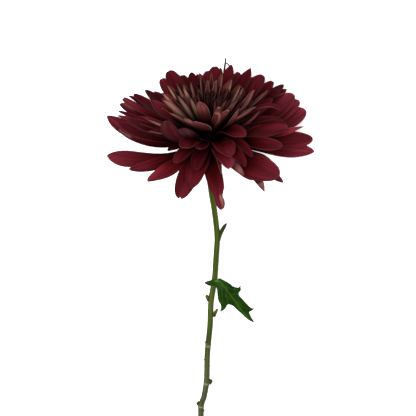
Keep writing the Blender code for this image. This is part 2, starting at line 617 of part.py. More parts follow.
def finished(obj):
    """Gives the whole object its one material, and smooth shading but for its sharp edges."""
    name, colour, roughness = FINISHES[obj.name]
    made = bpy.data.materials.new(name)
    made.use_nodes = True
    shader = made.node_tree.nodes["Principled BSDF"]
    shader.inputs["Base Color"].default_value = (*colour, 1)
    shader.inputs["Roughness"].default_value = roughness
    shader.inputs["Metallic"].default_value = 0.0
    obj.data.materials.clear()
    obj.data.materials.append(made)
    for face in obj.data.polygons:
        face.material_index = 0
    obj.data.shade_smooth()
    obj.data.set_sharp_from_angle(angle=SHARP_ANGLE)


def main():
    for obj in list(bpy.data.objects):
        bpy.data.objects.remove(obj)
    flower = bpy.data.collections.new("disbud_chrysanthemum")
    bpy.context.scene.collection.children.link(flower)
    chance = random.Random(SEED)

    rim = (OUTER_CORE_RIM, cone_height(OUTER_CORE_RIM) - SEAT_GAP)
    profile = [(0, CONE_TIP - SEAT_GAP), rim, OUTER_CORE_BELLY, OUTER_CORE_FOOT, (0, OUTER_CORE_FOOT[1])]
    outer = turned_about_axis("outer_florets", profile, flower)
    florets = all_florets(chance, outer_root, SKIRT + FRONT, OUTER_RINGS)
    fused(outer, [floret_mesh(floret, OUTER_STATIONS, False) for floret in florets])

    rim = (INNER_CORE_RIM, cone_height(INNER_CORE_RIM))
    profile = [(0, INNER_CORE_TOP), INNER_CORE_SHOULDER, rim, (0, CONE_TIP)]
    inner = turned_about_axis("inner_florets", profile, flower)
    florets = all_florets(chance, inner_root, HEART, INNER_RINGS)
    fused(inner, [floret_mesh(floret, INNER_STATIONS, True) for floret in florets])

    involucre_object(flower)
    stem_object(flower)
    leaf_object(flower)
    for obj in flower.objects:
        finished(obj)
        obj.location = FOOTPRINT_SHIFT


main()
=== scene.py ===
"""The looks of the cut disbud chrysanthemum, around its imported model.

Every floret follows the rule of the solid one that it stands for, as a finer blade with its own face and
reverse. Marks on the points of each mesh say where on a blade they lie, and the materials read them.
"""

from dataclasses import dataclass
from math import (asin, atan2, ceil, copysign, cos, degrees, dist, exp, hypot, inf, pi, radians, sin, sqrt,
                  tan)
import random

import bpy
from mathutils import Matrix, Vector, noise
from mathutils.geometry import delaunay_2d_cdt, interpolate_bezier


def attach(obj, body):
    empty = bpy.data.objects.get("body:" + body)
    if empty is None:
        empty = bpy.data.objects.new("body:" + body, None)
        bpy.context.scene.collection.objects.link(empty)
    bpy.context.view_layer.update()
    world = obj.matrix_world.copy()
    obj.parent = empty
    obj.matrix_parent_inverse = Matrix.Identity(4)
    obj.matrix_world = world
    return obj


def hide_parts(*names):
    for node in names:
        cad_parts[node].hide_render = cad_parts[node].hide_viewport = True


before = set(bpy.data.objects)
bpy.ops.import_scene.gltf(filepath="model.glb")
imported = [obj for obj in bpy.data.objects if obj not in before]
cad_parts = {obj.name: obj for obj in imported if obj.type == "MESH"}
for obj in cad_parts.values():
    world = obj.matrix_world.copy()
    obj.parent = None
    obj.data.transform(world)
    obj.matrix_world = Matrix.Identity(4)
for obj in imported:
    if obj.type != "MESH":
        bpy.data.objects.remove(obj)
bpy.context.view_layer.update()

MM = 0.001
SEED = 20
SHARP_ANGLE = radians(50)

# The bloom: its middle, where the florets' roots meet, and the directions along its axis, to the right and up
FACE_TILT = radians(30)
BLOOM_PLACE = Vector((-1.0, 73.6, 46.0)) * MM
AXIS = Vector((0, cos(FACE_TILT), sin(FACE_TILT)))
RIGHT = Vector((1, 0, 0))
NEAR = Vector((0, -sin(FACE_TILT), cos(FACE_TILT)))

# Where the flower is looked at from
EYE = Vector((-1.7, 27.8, 824.0)) * MM

# How far all is moved at the end, to put the footprint's middle at the origin
FOOTPRINT_SHIFT = Vector((0.3, 1.4, 0.0)) * MM

# A floret's blade: the steps along its middle line, its root's width as a share of the widest, where it is
# widest and how much further for each step of slimness, the share of its width that a slim one keeps, and the
# powers that round a blunt and a pointed tip
MARCH_STEPS = 24
ROOT_WIDTH = 0.36
WIDEST_PLACE = 0.62
WIDEST_STEP = 0.07
LEAST_SLIM = 0.2
ROUND_TIP = 0.4
POINTED_TIP = 0.9
# Its thickness in the middle and at its edge, its rows up to the widest place and from there to the tip and
# its faces across, and how near the rows come to the very tip
BLADE_MIDDLE = 0.5 * MM
BLADE_EDGE = 0.28 * MM
OUTER_GRID = (9, 9, 12)
INNER_GRID = (7, 7, 10)
BRACT_GRID = (6, 6, 8)
TIP_END = radians(84)
# The two grooves along it, by their place and width across half the blade
GROOVE_PLACE = 0.36
GROOVE_WIDTH = 0.13
GROOVE_DEPTH = 0.22 * MM
# The heights of its waves, its tip's notch and its teeth in mm, how many waves run along its middle and its
# edges, how the first slant, and how wide the notch and how fine the teeth are
WAVE_HEIGHTS = (0.2, 0.7)
NOTCHES = (0.0, 0.0, 0.6, 1.2)
RAGGEDNESS = (0.0, 0.5)
WAVES = 1.2
EDGE_WAVES = 1.7
WAVE_SLANT = 0.35
NOTCH_WIDTH = 0.3
TEETH = 3.1

# The cone between the burgundy outer florets and the pale inner ones: its tip on the axis, its slope, and how
# far the outer ones stay below it
CONE_TIP = 1.0 * MM
CONE_SLOPE = tan(radians(41))
CONE_ROOM = 1.3 * MM

# Where the florets' roots are, as (distance from the axis, heights for florets that are lifted by the first
# and the second of these angles in degrees, the angles)
OUTER_ROOTS = (8.0 * MM, (-3.0 * MM, 5.0 * MM), (-30, 35))
INNER_ROOTS = (6.0 * MM, (7.0 * MM, 10.0 * MM), (40, 90))

# The receptacle's two parts and the cup under them, as (distance from the axis, height along it) in mm
OUTER_CORE = [(0.01, 0.7), (10.0, 9.4), (11.5, 3.0), (8.0, -5.0), (0.01, -5.0)]
INNER_CORE = [(0.01, 13.0), (6.0, 10.0), (8.5, 8.4), (0.01, 1.0)]
CUP_PROFILE = [(0.01, -5.3), (8.0, -5.3), (7.6, -8.5), (5.2, -11.5), (2.9, -13.2), (0.01, -13.2)]
CORE_SIDES = 48
# The marks of the two and of the cup, as BLADE_MARKS below; the two have no brightness and lie at a root, so
# they are painted black as painted shade
CORE_SHADE_MARKS = (0.0, 0.0, 0.0, 0.0, 0.75)
CUP_MARKS = (0.3, 0.0, 1.0, 0.5, 0.0)

# Over which height florets ease down to the table, how high they lie on it, and the lowest place for a point
TABLE_EASE = 6 * MM
TABLE_LEVEL = 0.5 * MM
LOWEST = 0.05 * MM

# The bracts on the green cup, how wavy they are beside a floret, and their two rows, as (distance from the
# axis and height along it in mm, lift in degrees, share of the length)
BRACTS = 12
BRACT_WAVINESS = 0.4
BRACT_LENGTH = 11 * MM
BRACT_WIDTH = 4.2 * MM
BRACT_CUP = radians(35)
BRACT_ARCH = radians(28)
BRACT_POINT = 0.9
BRACT_ROWS = [(4.5, -8.6, 6, 1.0), (3.5, -10.2, -2, 0.85)]

# The stem: its middle line from the bloom down in mm, its radius, that at its top, over how many stretches of
# the line it thins from there, and its ribs
STEM_LINE = [
    (-0.7, 61.9, 39.2), (0.1, 43, 28.3), (2.9, 25, 19), (4.7, 8, 11.5), (4.2, -3.5, 8), (3.7, -12, 6),
    (2.9, -22.5, 4.3), (0.7, -36, 2.9), (0, -46, 2.1), (-0.3, -56, 1.8), (-1.3, -66, 1.8),
    (-2.3, -77.5, 1.8), (-2.5, -89, 1.8), (-2.9, -96.5, 1.8), (-4.5, -106, 1.8), (-6.6, -112.5, 1.8),
    (-6.8, -119.5, 1.8), (-7.2, -131.5, 1.8)
]
STEM_RADIUS = 1.95 * MM
STEM_NECK = 2.4 * MM
NECK_STRETCHES = 1.5
STEM_SIDES = 40
STEM_STEPS = 10
STEM_RIBS = 6
RIB_SHARE = 0.045
# Buds on the stem, as (foot, tip, radius at the foot and at the tip in mm, where along it the bud is darkest
# and how dark), and over which share of their length they are dark
BUDS = [((-1.2, -38.3, 3), (-2.9, -34.4, 3.6), 1.2, 1.3, 0.1, 0.9),
        ((1.8, -49, 2.4), (5.1, -43.8, 3), 1.7, 0.7, 0.1, 0.9),
        ((-2.2, -70, 3.3), (-2.9, -67, 3.5), 1.5, 1.2, 0.9, 0.8),
        ((-2.6, -81, 2), (-4.8, -80, 2), 0.9, 0.4, 0.6, 0.5),
        ((-1.3, -96, 2.5), (0.9, -94.8, 2.6), 2.4, 1.1, 0.5, 0.85),
        ((-7.5, -112.1, 2.2), (-9.4, -110.5, 2.4), 2, 1.1, 0.6, 0.85),
        ((-6, -116.7, 2), (-4.4, -115.9, 2), 1.2, 0.6, 0.6, 0.5)]
BUD_SHADE_WIDTH = 0.4
# From which share of its length on and to which of its width a bud is rounded, its ribs, and how brown it is
BUD_ROUNDED = 0.7
BUD_END = 0.08
BUD_RIBS = 3
BUD_RIB_SHARE = 0.08
BUD_STEPS = 14
BUD_BARK = 0.6
# Where leaves were: pale rings round the stem, by their places, width and lean in mm and paleness, and the
# knots under them, by their width in mm and thickness
SCARS = [-69.9, -96.6, -113.1]
SCAR_WIDTH = 0.45
SCAR_LEAN = 0.7
SCAR_PALENESS = 0.65
KNOT_WIDTH = 1.6
KNOT_SHARE = 0.05
# The narrow bract on the upper stem: its middle line and half widths in mm, its thickness as a share of its
# width, and how dark its foot is
SPUR_LINE = [(4.9, 1.5, 9.6), (6, 6, 11.6), (7.3, 10.6, 13.4), (10, 15.2, 15.2), (11.3, 17.2, 15.8)]
SPUR_HALF_WIDTHS = (1.0, 1.2, 1.5, 1.2, 0.3)
SPUR_THICKNESS = 0.55
SPUR_DARKNESS = 0.3
SPUR_STEPS = 6

# The leaf, in mm from where it grows: the least height of its upper side, its cut edge, its midrib and veins,
# its height along the midrib, as (distance, height), and how steeply it falls away to both sides
LEAF_PLACE = Vector((2.9, -22.7, 0.0)) * MM
LEAF_LEAST_HEIGHT = 0.9
LEAF_EDGE = [
    (-7.5, -2.2), (-4.8, -1), (-2, -0.3), (0, 0.2), (2, 0.2), (3.8, 0.9), (6, -0.2), (8.8, -1.8),
    (11.2, -3.3), (12.8, -4.8), (14.7, -5.5), (16.9, -5.9), (17.9, -4.8), (19.1, -4), (18.4, -5.6),
    (18.8, -7.5), (17.2, -9.4), (17.4, -11.6), (20.4, -14.8), (22.9, -17.6), (25, -19.8), (26.4, -20.8),
    (28.3, -21), (26.9, -22.5), (25, -23.4), (24.7, -24), (26, -26.8), (27.4, -29.2), (28.2, -30.3),
    (27.6, -31), (26, -30.2), (24, -29.1), (21.3, -26.8), (19.1, -24.6), (16.4, -22.2), (13.7, -19.4),
    (12, -18.4), (10, -17.8), (9, -18.4), (7.7, -20.6), (6.3, -22.2), (4.7, -22.8), (3, -23.7),
    (4.2, -22.2), (4.6, -20), (4.2, -17.8), (3, -15.9), (2.3, -13.5), (2, -10.2), (1.7, -6.9), (1, -5.3),
    (0, -4.4), (-2, -4.5), (-4, -4.4), (-6.2, -3.3)
]
LEAF_MIDRIB = [
    (0, -1.2), (2.2, -1.2), (4.2, -1.9), (5.5, -3.4), (8.2, -6.9), (11.5, -11.3), (14.7, -15.9),
    (16.9, -18.9), (20.4, -23.5), (24, -27.6), (27, -30)
]
LEAF_VEINS = [
    [(5, -3), (5.3, -7.8), (5.5, -13), (6.1, -18.8), (5, -22)], [(1.5, -1.3), (-2.7, -2.4), (-6.2, -2.5)],
    [(6.4, -4.7), (11.1, -6.6), (14.9, -7.4), (17.4, -6.6)], [(10.6, -10.2), (14.6, -10.4), (17.2, -10)],
    [(4, -2.6), (3.1, -6.5), (3.5, -12.3), (4.6, -17)], [(7.9, -6.6), (8.2, -12.3), (9.6, -16.8)],
    [(13.6, -14.4), (18.1, -18.1), (22.6, -20.9), (26.6, -21.9)],
    [(14.9, -16.4), (16.6, -19.6), (18.8, -23.6)]]
LEAF_HEIGHTS = [(0, 7.45), (4, 8.6), (12, 8.5), (24, 5.8), (34, 2.8), (44, 0.9)]
LEAF_FALL = 0.22
LEAF_FALL_START = 12
# Its thickness, the share of it left at the edge, and from how far in on it is whole, in mm
LEAF_THICKNESS = 0.45 * MM
LEAF_EDGE_SHARE = 0.5
LEAF_EDGE_DEPTH = 0.8
# How far apart the points of its mesh are, in mm
LEAF_GRID = 0.45
# The midrib, the side veins and the swollen foot, as (strength, width in mm), how far they are sunk above and
# raised below, and how high and over what width the leaf is quilted between them
MIDRIB = (0.9, 0.32)
SIDE_VEIN = (0.4, 0.28)
LEAF_FOOT = (0.8, 1.7)
LEAF_FOOT_PLACE = (1.6, -0.4)
VEIN_SUNK = 0.25
VEIN_RAISED = 0.3
QUILT_HEIGHT = 0.35
QUILT_WIDTH = 2.2
# Which corners of the cut edge are dark tips, and how wide the dark is in mm
LEAF_TIPS = (0, 13, 22, 28, 42)
LEAF_TIP_WIDTH = 0.9

# Listed florets. Each is its tip as seen from EYE, in mm to the right of the bloom's middle and along
# the flower, its reach from that middle in mm (negative on the far side), its width in mm, how far it is
# cupped, bent up and turned to the viewer in degrees, how pointed it is, from 0 to 1, and for some how far it
# bows sideways in degrees and how slim its root is
SKIRT = [
    (-69, 18, 72, 15, 20, 52, 30, 0.7, -24), (-62, 13, 66, 13, 25, 45, 20, 0.3, -16),
    (-61, 9, 64, 13, 25, 48, 30, 0.3, -26), (-55, 14, 60, 13, 25, 30, 15, 0.4, -12),
    (-70, -9, 71, 13, 20, 45, 45, 0.7, -34, 2), (-54, -19, 66, 10, 25, 35, 40, 0.7, -6),
    (-41, -28, 66, 11, 25, 10, 20, 0.1, -8), (-20, -40, 65, 16, 25, -25, 5, 0.05, -8),
    (-12, -33, 58, 13, 20, -30, 0, 0.3), (-6, -25, 46, 9, 25, -30, 0, 0.2),
    (10, -48, 67, 12, 25, -45, 0, 0.1, 24, -2), (8, -24, 55, 5, 50, -40, -60, 0.5),
    (14, -20, 50, 13, 25, -40, 0, 0.2), (24, -19, 52, 9, 40, -55, 10, 0.3),
    (48, -25, 67, 21, 20, 5, 30, 0, 28), (50, -29, 68, 8, 30, -10, 30, 0.3),
    (38, -35, 66, 6, 30, 15, 20, 1, -45, 1), (24, -23, 54, 6, 45, 10, 20, 0.4),
    (32, -27, 50, 15, 25, -15, 20, 0.2), (71, -8, 73, 15, 25, 10, 30, 0.3),
    (70, 1, 72, 16, 20, 15, 35, 0.3), (64, 9, 69, 5, 50, 30, 60, 0.9, -25),
    (49, -5, 60, 12, 30, -5, 25, 0), (53, 8, 60, 15, 25, -10, 35, 0.05),
    (65, 21, -71, 22, 20, 35, 20, 0.25), (61, 27, -69, 17, 20, 30, 20, 0.2),
    (57, 32, -68, 20, 20, 40, 20, 0.3), (52, 35, -67, 11, 30, 20, 10, 0.4),
    (50, 38, -67, 12, 25, 20, 0, 0.3), (43, 40, -64, 12, 30, 20, 0, 0.2),
    (36, 44, -63, 15, 25, 15, 0, 0.1), (31, 43, -60, 11, 30, 15, 0, 0.3),
    (28, 49, -63, 12, 30, 10, 0, 0.9), (20, 46, -60, 11, 30, 15, 0, 0.3),
    (15, 51, -63, 12, 30, 10, 0, 0.8), (8, 49, -61, 6, 40, 15, 0, 0.6),
    (4, 50, -62, 12, 30, 15, 0, 0.1), (-1, 47, -60, 11, 30, 15, 0, 0.2),
    (-7, 45, -60, 12, 30, 20, 0, 0.2), (-12, 46, -60, 11, 25, 20, 0, 0.3),
    (-18, 44, -60, 12, 25, 20, 0, 0.2), (-21, 44, -60, 9, 30, 15, 0, 0.2),
    (-27, 47, -60, 13, 20, 15, 15, 0), (-32, 42, -59, 12, 25, 20, 10, 0.1),
    (-37, 33, -58, 11, 30, 20, 0, 0.3), (-43, 34, -60, 12, 30, 20, 0, 0.3),
    (-51, 31, -62, 11, 30, 15, 0, 0.3), (-54, 30, -64, 10, 40, 15, 0, 0.4),
    (-58, 29, -66, 8, 30, 20, 10, 0.1, -10), (-60, 25, -66, 11, 30, 20, 10, 0.2, -8),
    (-61, 20, 66, 8, 35, 20, 10, 0.4, -12), (-62, 17, 66, 7, 40, 10, 10, 0.5, -12),
]
FRONT = [
    (-29, 15, 47, 13, 30, 110, -60, 0, -25), (-42, 14, 55, 7, 90, 15, 0, 0.5),
    (-41, 6, 50, 7, 80, 10, 0, 0.6), (-19, 8, 48, 11, 40, 35, -35, 0.3),
    (-17, -8, 44, 13, 45, -40, 10, 0.15), (-7, -8, 43, 10, 50, -25, 20, 0.3),
    (15, -12, 46, 14, 30, -45, 10, 0.05), (24, 1, 45, 12, 40, -60, 20, 0.1),
    (29, -13, 47, 8, 45, -80, 0, 0.2), (-9, -21, 49, 10, 30, -40, 0, 0),
    (-23, -16, 50, 10, 30, -30, 10, 0.15), (44, 21, 54, 8, 60, -40, 0, 0.2),
    (46, 12, 54, 10, 45, -30, 0, 0.3), (34, 20, 48, 8, 60, 45, 0, 0.6),
]
HEART = [
    (-32, 19, 46, 11, 85, 20, -20, 0.4), (-31, 27, 46, 13, 85, 20, -20, 0.35),
    (-32, 32, 48, 10, 95, 20, 0, 0.45), (-28, 37, 47, 9, 110, 20, 0, 0.6),
    (-22, 39, 46, 9, 110, 20, 0, 0.5), (-17, 35, 43, 10, 100, 20, 0, 0.4),
    (-21, 30, 42, 10, 90, 20, 0, 0.5), (-13, 29, 40, 7, 115, 20, 0, 0.6),
    (-16, 15, 45, 10, 70, 35, 0, 0.45), (-9, 10, 41, 15, 48, 35, 0, 0.2, -8),
    (-24, 13, 50, 7, 80, 15, 0, 0.5), (-6, 26, 44, 11, 60, 20, 0, 0.75),
    (5, 19, 48, 9, 100, 40, -60, 0.1), (7, 20, 39, 9, 80, 35, 0, 0), (13, 20, 42, 9, 70, 10, 0, 0.4),
    (20, 22, 42, 7, 80, 60, 0, 0.6), (31, 22, 48, 11, 65, 20, 0, 0.4), (30, 34, 50, 11, 75, 48, 0, 0.4),
    (39, 34, 54, 7, 60, 50, 0, 0.7), (-17, 37, 43, 8, 120, 20, 0, 0.5),
    (-12, 39, 43, 8, 120, 20, 0, 0.5), (-5, 43, 45, 8, 130, 15, 0, 0.6),
    (-1, 40, 42, 7, 120, 15, 0, 0.5), (2, 45, 46, 8, 130, 15, 0, 0.6), (5, 40, 42, 7, 120, 15, 0, 0.5),
    (9, 45, 47, 9, 130, 10, 0, 0.6), (15, 41, 45, 11, 95, 20, 0, 0.5), (21, 37, 44, 10, 95, 20, 0, 0.4),
    (23, 35, 43, 9, 100, 20, 0, 0.5), (19, 26, 40, 9, 90, 10, 0, 0.5),
]
# A tip lies at least this far before or behind the bloom's middle
LEAST_DEPTH = 4 * MM
# How red the reverse of each of these is, from pale tan at 0 to burgundy at 1
SKIRT_BLUSH = [0.85] * 11 + [0.4] + [0.85] * (len(SKIRT) - 12)
FRONT_BLUSH = [1.0, 0.3, 0.4, 0.68, 1.0, 1.0] + [0.85] * 7 + [0.7]
HEART_BLUSH = [
    0.8, 0.2, 0.35, 0.2, 0.25, 0.25, 0.15, 0.1, 0.4, 0.82, 0.3, 0.75, 0.6, 1.0, 0.8, 0.75, 0.75, 0.6, 0.6,
    0.3, 0.35, 0.2, 0.6, 0.25, 0.6, 0.3, 0.05, 0.1, 0.4, 0.8
]
# How bright the florets of each sort are, between these two shares of their colours, and some one by one
SKIRT_TONES = (0.55, 1.2)
# The florets on the far side are darker, as painted shade
FAR_SHADE_TONES = (0.46, 0.88)
FRONT_TONES = (0.38, 1.0)
HEART_TONES = (0.75, 1.25)
RING_TONES = (0.38, 1.05)
# The inner rings are darker, partly their own colour and partly painted shade in the bloom's depth
INNER_SHADE_TONES = (0.24, 0.45)
# The filling florets are near black, as painted shade
FILL_SHADE_TONES = (0.08, 0.25)
# Brightness listed for single florets, partly their own and partly painted light and painted shade
SKIRT_TONE_AND_LIGHT = {
    0: 0.9, 2: 0.8, 5: 0.9, 6: 1.5, 7: 0.8, 8: 0.75, 10: 0.95, 12: 1.4, 13: 0.55, 14: 0.95, 17: 1.1,
    19: 1.3, 21: 1.6, 23: 0.8, 24: 1.4, 25: 1.3, 26: 1.0, 28: 0.4, 29: 0.5, 34: 0.6, 39: 0.4, 45: 0.4,
    46: 0.55, 48: 1.1, 50: 0.55, 51: 1.3
}
FRONT_TONE_AND_LIGHT = {0: 0.5, 1: 1.2, 2: 0.7, 3: 0.4, 4: 1.1, 8: 0.5, 9: 0.5, 10: 0.7, 11: 0.65, 12: 0.45}
HEART_TONE_AND_LIGHT = {
    0: 1.3, 1: 0.9, 2: 1.6, 4: 0.65, 6: 0.7, 7: 0.45, 8: 1.2, 9: 2.0, 11: 0.95, 12: 1.15, 13: 0.75, 14: 1.0,
    15: 0.7, 17: 0.95, 18: 1.0, 19: 0.85, 20: 0.6, 21: 0.6, 22: 0.85, 23: 0.75, 24: 1.0, 25: 1.0, 26: 1.2,
    27: 0.85, 28: 0.85
}
# Whose tips curl and how far in degrees, from which share of their length on, and how much longer they are
FRONT_CURLS = {4: 60, 5: 50, 11: -60, 12: -50}
HEART_CURLS = {13: 60}
CURL_START = 0.8
CURL_STRETCH = 1.12
# Which take their reverse's colours on their face from a share of their length on, which have a waist, as
# (share along it, share of the width that is lost), and which take them on a corner of the face, on one side
# and from a place along and across on
SKIRT_CHANGES = {2: {"fold": 1}, 10: {"fold": 1, "waist": (0.84, 0.4)}, 16: {"over": 0.84},
                 17: {"over": 0.0}, 49: {"fold": -1}}
WAIST_SPREAD = 0.06
FOLD_START = 0.84
FOLD_SIDE = 0.1
# The floret of the heart whose tip hooks over sideways, its middle line as seen from EYE and towards it in mm
# from the bloom's middle, and its sideways direction at its two ends
HEART_CHANGES = {12: {"hooked": True, "width": 4.6 * MM}}
HOOK_LINE = [(0.9, 1.7, 6), (1.6, 3, 10), (3.2, 5.4, 18), (5, 7.7, 26), (6.6, 10.1, 34), (7.8, 13.1, 40),
             (8.2, 16.2, 43), (6.6, 18.3, 45), (3.8, 18, 45)]
HOOK_SIDES = (Vector((0.85, 0, -0.5)), Vector((0.2, 0.8, -0.5)))
# The sliver torn from the topmost floret and the thread that still holds it, as (middle line as above, radius
# at the foot and at the tip in mm), how sharply the radius changes, and what their points say
SLIVERS = [([(10.2, 43.5, -30.5), (10.4, 48, -32), (10.9, 52, -33.5), (11.2, 55.6, -34.5)], 0.7, 0.25),
           ([(10.9, 52, -33.4), (12.4, 51.4, -33.2), (13.4, 50.2, -33), (14, 48.8, -32.8)], 0.45, 0.6)]
SLIVER_STEPS = 5
SLIVER_TAPER = 5
SLIVER_MARKS = (0.9, 0.0, 1.0, 0.45, 0.8)

# The rings of florets behind and among them, as (count, lift in degrees, reach, width, cup and bend in
# degrees, azimuth of the first in radians, pairs of azimuths in degrees with none between them)
OUTER_RINGS = [
    (18, -18, 42, 13, 25, -25, 0.0, [(-120, 105)]), (20, -20, 66, 13, 20, -22, 0.1, [(-125, 125)]),
    (16, -2, 46, 13, 25, 0, 0.1, [(-95, 50)]), (14, 11, 44, 12, 30, 10, 0.2, [(-80, 80)]),
    (14, 25, 40, 11, 35, 15, 0.0, [(-70, 70)]),
]
INNER_RINGS = [
    (16, 47, 32, 7.5, 70, 12, 0.0, [(-70, 75)]), (14, 58, 30, 6.5, 75, 12, 0.15, [(-60, 70)]),
    (13, 68, 28, 5.5, 80, 12, 0.1, [(-30, 30)]), (10, 78, 24, 4.5, 80, 10, 0.0, []),
    (5, 86, 20, 4.0, 80, 5, 0.0, []),
]
# How the florets of a ring differ: by up to so much of the space between two, by up to so many degrees, or
# between these shares of the given size
SPACING_CHANGE = 0.3
LIFT_CHANGE = 6
ARCH_CHANGE = 18
TURN_CHANGE = 25
SWEEP_CHANGE = 14
REACHES = (0.88, 1.08)
WIDTHS = (0.85, 1.15)
CUPS = (0.7, 1.3)
POINTS = (0.1, 0.8)

# Short florets in the depth between the others, given as the rings are, dark as painted shade
OUTER_FILL = [(16, 22, 24, 8, 30, 0, 0.0, []), (16, 5, 26, 8, 30, 0, 0.2, [])]
INNER_FILL = [(16, 52, 31, 7.0, 100, 18, 0.3, [(-70, 75)]), (14, 63, 29, 6.5, 110, 15, 0.1, [(-60, 60)]),
              (12, 73, 26, 5.5, 120, 12, 0.2, [])]

# What the points of a blade say: the share along it, how far across, from -1 to 1, whether it is on the
# reverse, how bright the floret is, partly its own brightness and partly painted light and shade, and how
# red its reverse is
BLADE_MARKS = ("along", "across", "reverse", "tone", "blush")

# The two sorts of florets: their face's colours at the root, midway and at the tip of a dark and of a bright
# one, darker at the root partly as painted shade, those of a tan, a pink and a burgundy reverse and of its
# dark edge, partly its own colour and partly painted shade, that of the pale margin and how strong it is,
# how dark the painted shade at the root is, and between which shares of the length that painted shade
# fades out
BURGUNDY = {"faces": ((0.032, 0.0010, 0.001), (0.054, 0.0028, 0.004), (0.080, 0.0052, 0.0095),
                      (0.075, 0.0080, 0.0145)),
            "reverses": ((0.17, 0.11, 0.065), (0.20, 0.075, 0.072), (0.072, 0.0075, 0.012)),
            "edge": (0.05, 0.008, 0.010), "margin": (0.17, 0.050, 0.055), "pale_share": 0.16,
            "painted_root_shade": 0.03, "painted_shade_fade": (0.16, 0.85)}
PALE = {"faces": ((0.010, 0.0012, 0.001), (0.020, 0.0030, 0.0025), (0.020, 0.0030, 0.0025),
                  (0.060, 0.015, 0.012)),
        "reverses": ((0.195, 0.121, 0.080), (0.178, 0.057, 0.053), (0.064, 0.010, 0.011)),
        "edge": (0.050, 0.011, 0.010), "margin": (0.26, 0.12, 0.11), "pale_share": 0.6,
        "painted_root_shade": 0.02, "painted_shade_fade": (0.25, 0.85)}

# The room: the floor's half width in m, and the lamps, as (name, place and width in m, power in W) and where
# they point
FLOOR_SIZE = 7.0
LAMPS = (("key", (-0.28, -0.04, 1.22), 0.7, 32.0), ("fill", (0.3, 0.2, 1.2), 1.2, 6.0))
LAMP_TARGET = Vector((0, 0.06, 0.04))


@dataclass
class Floret:
    """One strap-shaped floret: where it grows, which way, how it bends and how wide it is."""

    azimuth: float
    lift: float
    length: float
    width: float
    cup: float
    arch: float
    twist: float
    point: float
    root: tuple
    sweep: float = 0.0
    slim: float = 0.0
    hooked: bool = False
    over: float = inf
    fold: int = 0
    waist: tuple = ()

    def dress(self, chance, blush, tones, curl=0.0):
        """Gives the floret what sets it apart from its neighbours."""
        self.curl = radians(curl)
        if curl:
            self.length *= CURL_STRETCH
        self.tone = chance.uniform(*tones)
        self.blush = blush
        self.wave = chance.uniform(*WAVE_HEIGHTS) * MM
        self.phases = [chance.uniform(0, 2 * pi) for _ in range(3)]
        self.notch = chance.choice(NOTCHES) * MM * (1 - self.point)
        self.ragged = chance.uniform(*RAGGEDNESS) * MM
        return self


def around(azimuth):
    """The direction straight out from the bloom's axis at an azimuth, 0 being the near side."""
    return NEAR * cos(azimuth) + RIGHT * sin(azimuth)


def towards_eye(across, up, near):
    """From the bloom's middle to a place that is seen from EYE at (across, up) and is this near to it."""
    middle = BLOOM_PLACE - EYE
    shrink = 1 + near / middle.z
    return Vector(((across + middle.x) * shrink - middle.x, (up + middle.y) * shrink - middle.y, near))


def seen_line(corners, steps):
    """A smooth line through places given in mm as seen from EYE and towards it."""
    return smooth_line([BLOOM_PLACE + towards_eye(*(Vector(corner) * MM)) for corner in corners], steps, 1.0)


def hooked_spine():
    """The spine of the floret whose tip hooks over."""
    line = seen_line(HOOK_LINE, MARCH_STEPS // (len(HOOK_LINE) - 1))
    found = []
    for k, point in enumerate(line):
        ahead = (line[min(k + 1, MARCH_STEPS)] - line[max(k - 1, 0)]).normalized()
        side = HOOK_SIDES[0].lerp(HOOK_SIDES[1], k / MARCH_STEPS)
        side = (side - ahead * side.dot(ahead)).normalized()
        found.append((point, side, ahead.cross(side)))
    return found


def spine(floret):
    """Points, sideways directions and normals along the floret's middle."""
    if floret.hooked:
        return hooked_spine()
    point = BLOOM_PLACE + around(floret.azimuth) * floret.root[0] + AXIS * floret.root[1]
    found = []
    for i in range(MARCH_STEPS + 1):
        share = i / MARCH_STEPS
        azimuth = floret.azimuth + floret.sweep * (share - 0.5)
        lift = floret.lift + floret.arch * share
        lift += floret.curl * max(0.0, share - CURL_START) / (1 - CURL_START)
        ahead = around(azimuth) * cos(lift) + AXIS * sin(lift)
        fall = max(point.z - TABLE_LEVEL, 0.0) / TABLE_EASE
        if -ahead.z > fall:
            ahead = Vector((ahead.x, ahead.y, -fall)).normalized()
        laid = max(0.0, 1.0 - fall)
        normal = ahead.cross(around(azimuth + pi / 2)).normalized() * (1 - laid) + Vector((0, 0, laid))
        normal = (normal - ahead * normal.dot(ahead)).normalized()
        side = normal.cross(ahead)
        turn = floret.twist * share * (1 - laid)
        turned = side * cos(turn) + normal * sin(turn)
        found.append((point.copy(), turned, ahead.cross(turned)))
        point = point + ahead * floret.length / MARCH_STEPS
    return found


def on_spine(line, share):
    """The point, sideways direction and normal at a share of the way along a spine."""
    place = min(max(share, 0.0), 1.0) * MARCH_STEPS
    k = min(int(place), MARCH_STEPS - 1)
    return [a.lerp(b, place - k) for a, b in zip(line[k], line[k + 1])]


def part_way(value, ends):
    """How far a value is from the first of two ends to the second, from 0 to 1."""
    return min(1.0, max(0.0, (value - ends[0]) / (ends[1] - ends[0])))


def peak(off, width):
    """A bell curve: 1 where off is 0, and near 0 from twice the width on."""
    return exp(-(off / width) ** 2)


def half_width(floret, share):
    """Half the floret's width: a narrow root, the widest place past the middle, and a rounded tip."""
    widest = WIDEST_PLACE + WIDEST_STEP * floret.slim
    rise = sin(0.5 * pi * min(share / widest, 1.0))
    spread = (ROOT_WIDTH + (1 - ROOT_WIDTH) * rise) * max(rise, LEAST_SLIM) ** max(floret.slim, 0)
    past = part_way(share, (widest, 1.0))
    power = ROUND_TIP + (POINTED_TIP - ROUND_TIP) * floret.point
    if floret.waist:
        place, lost = floret.waist
        spread *= 1 - lost * peak(share - place, WAIST_SPREAD)
    return 0.5 * floret.width * spread * (1 - past * past) ** power


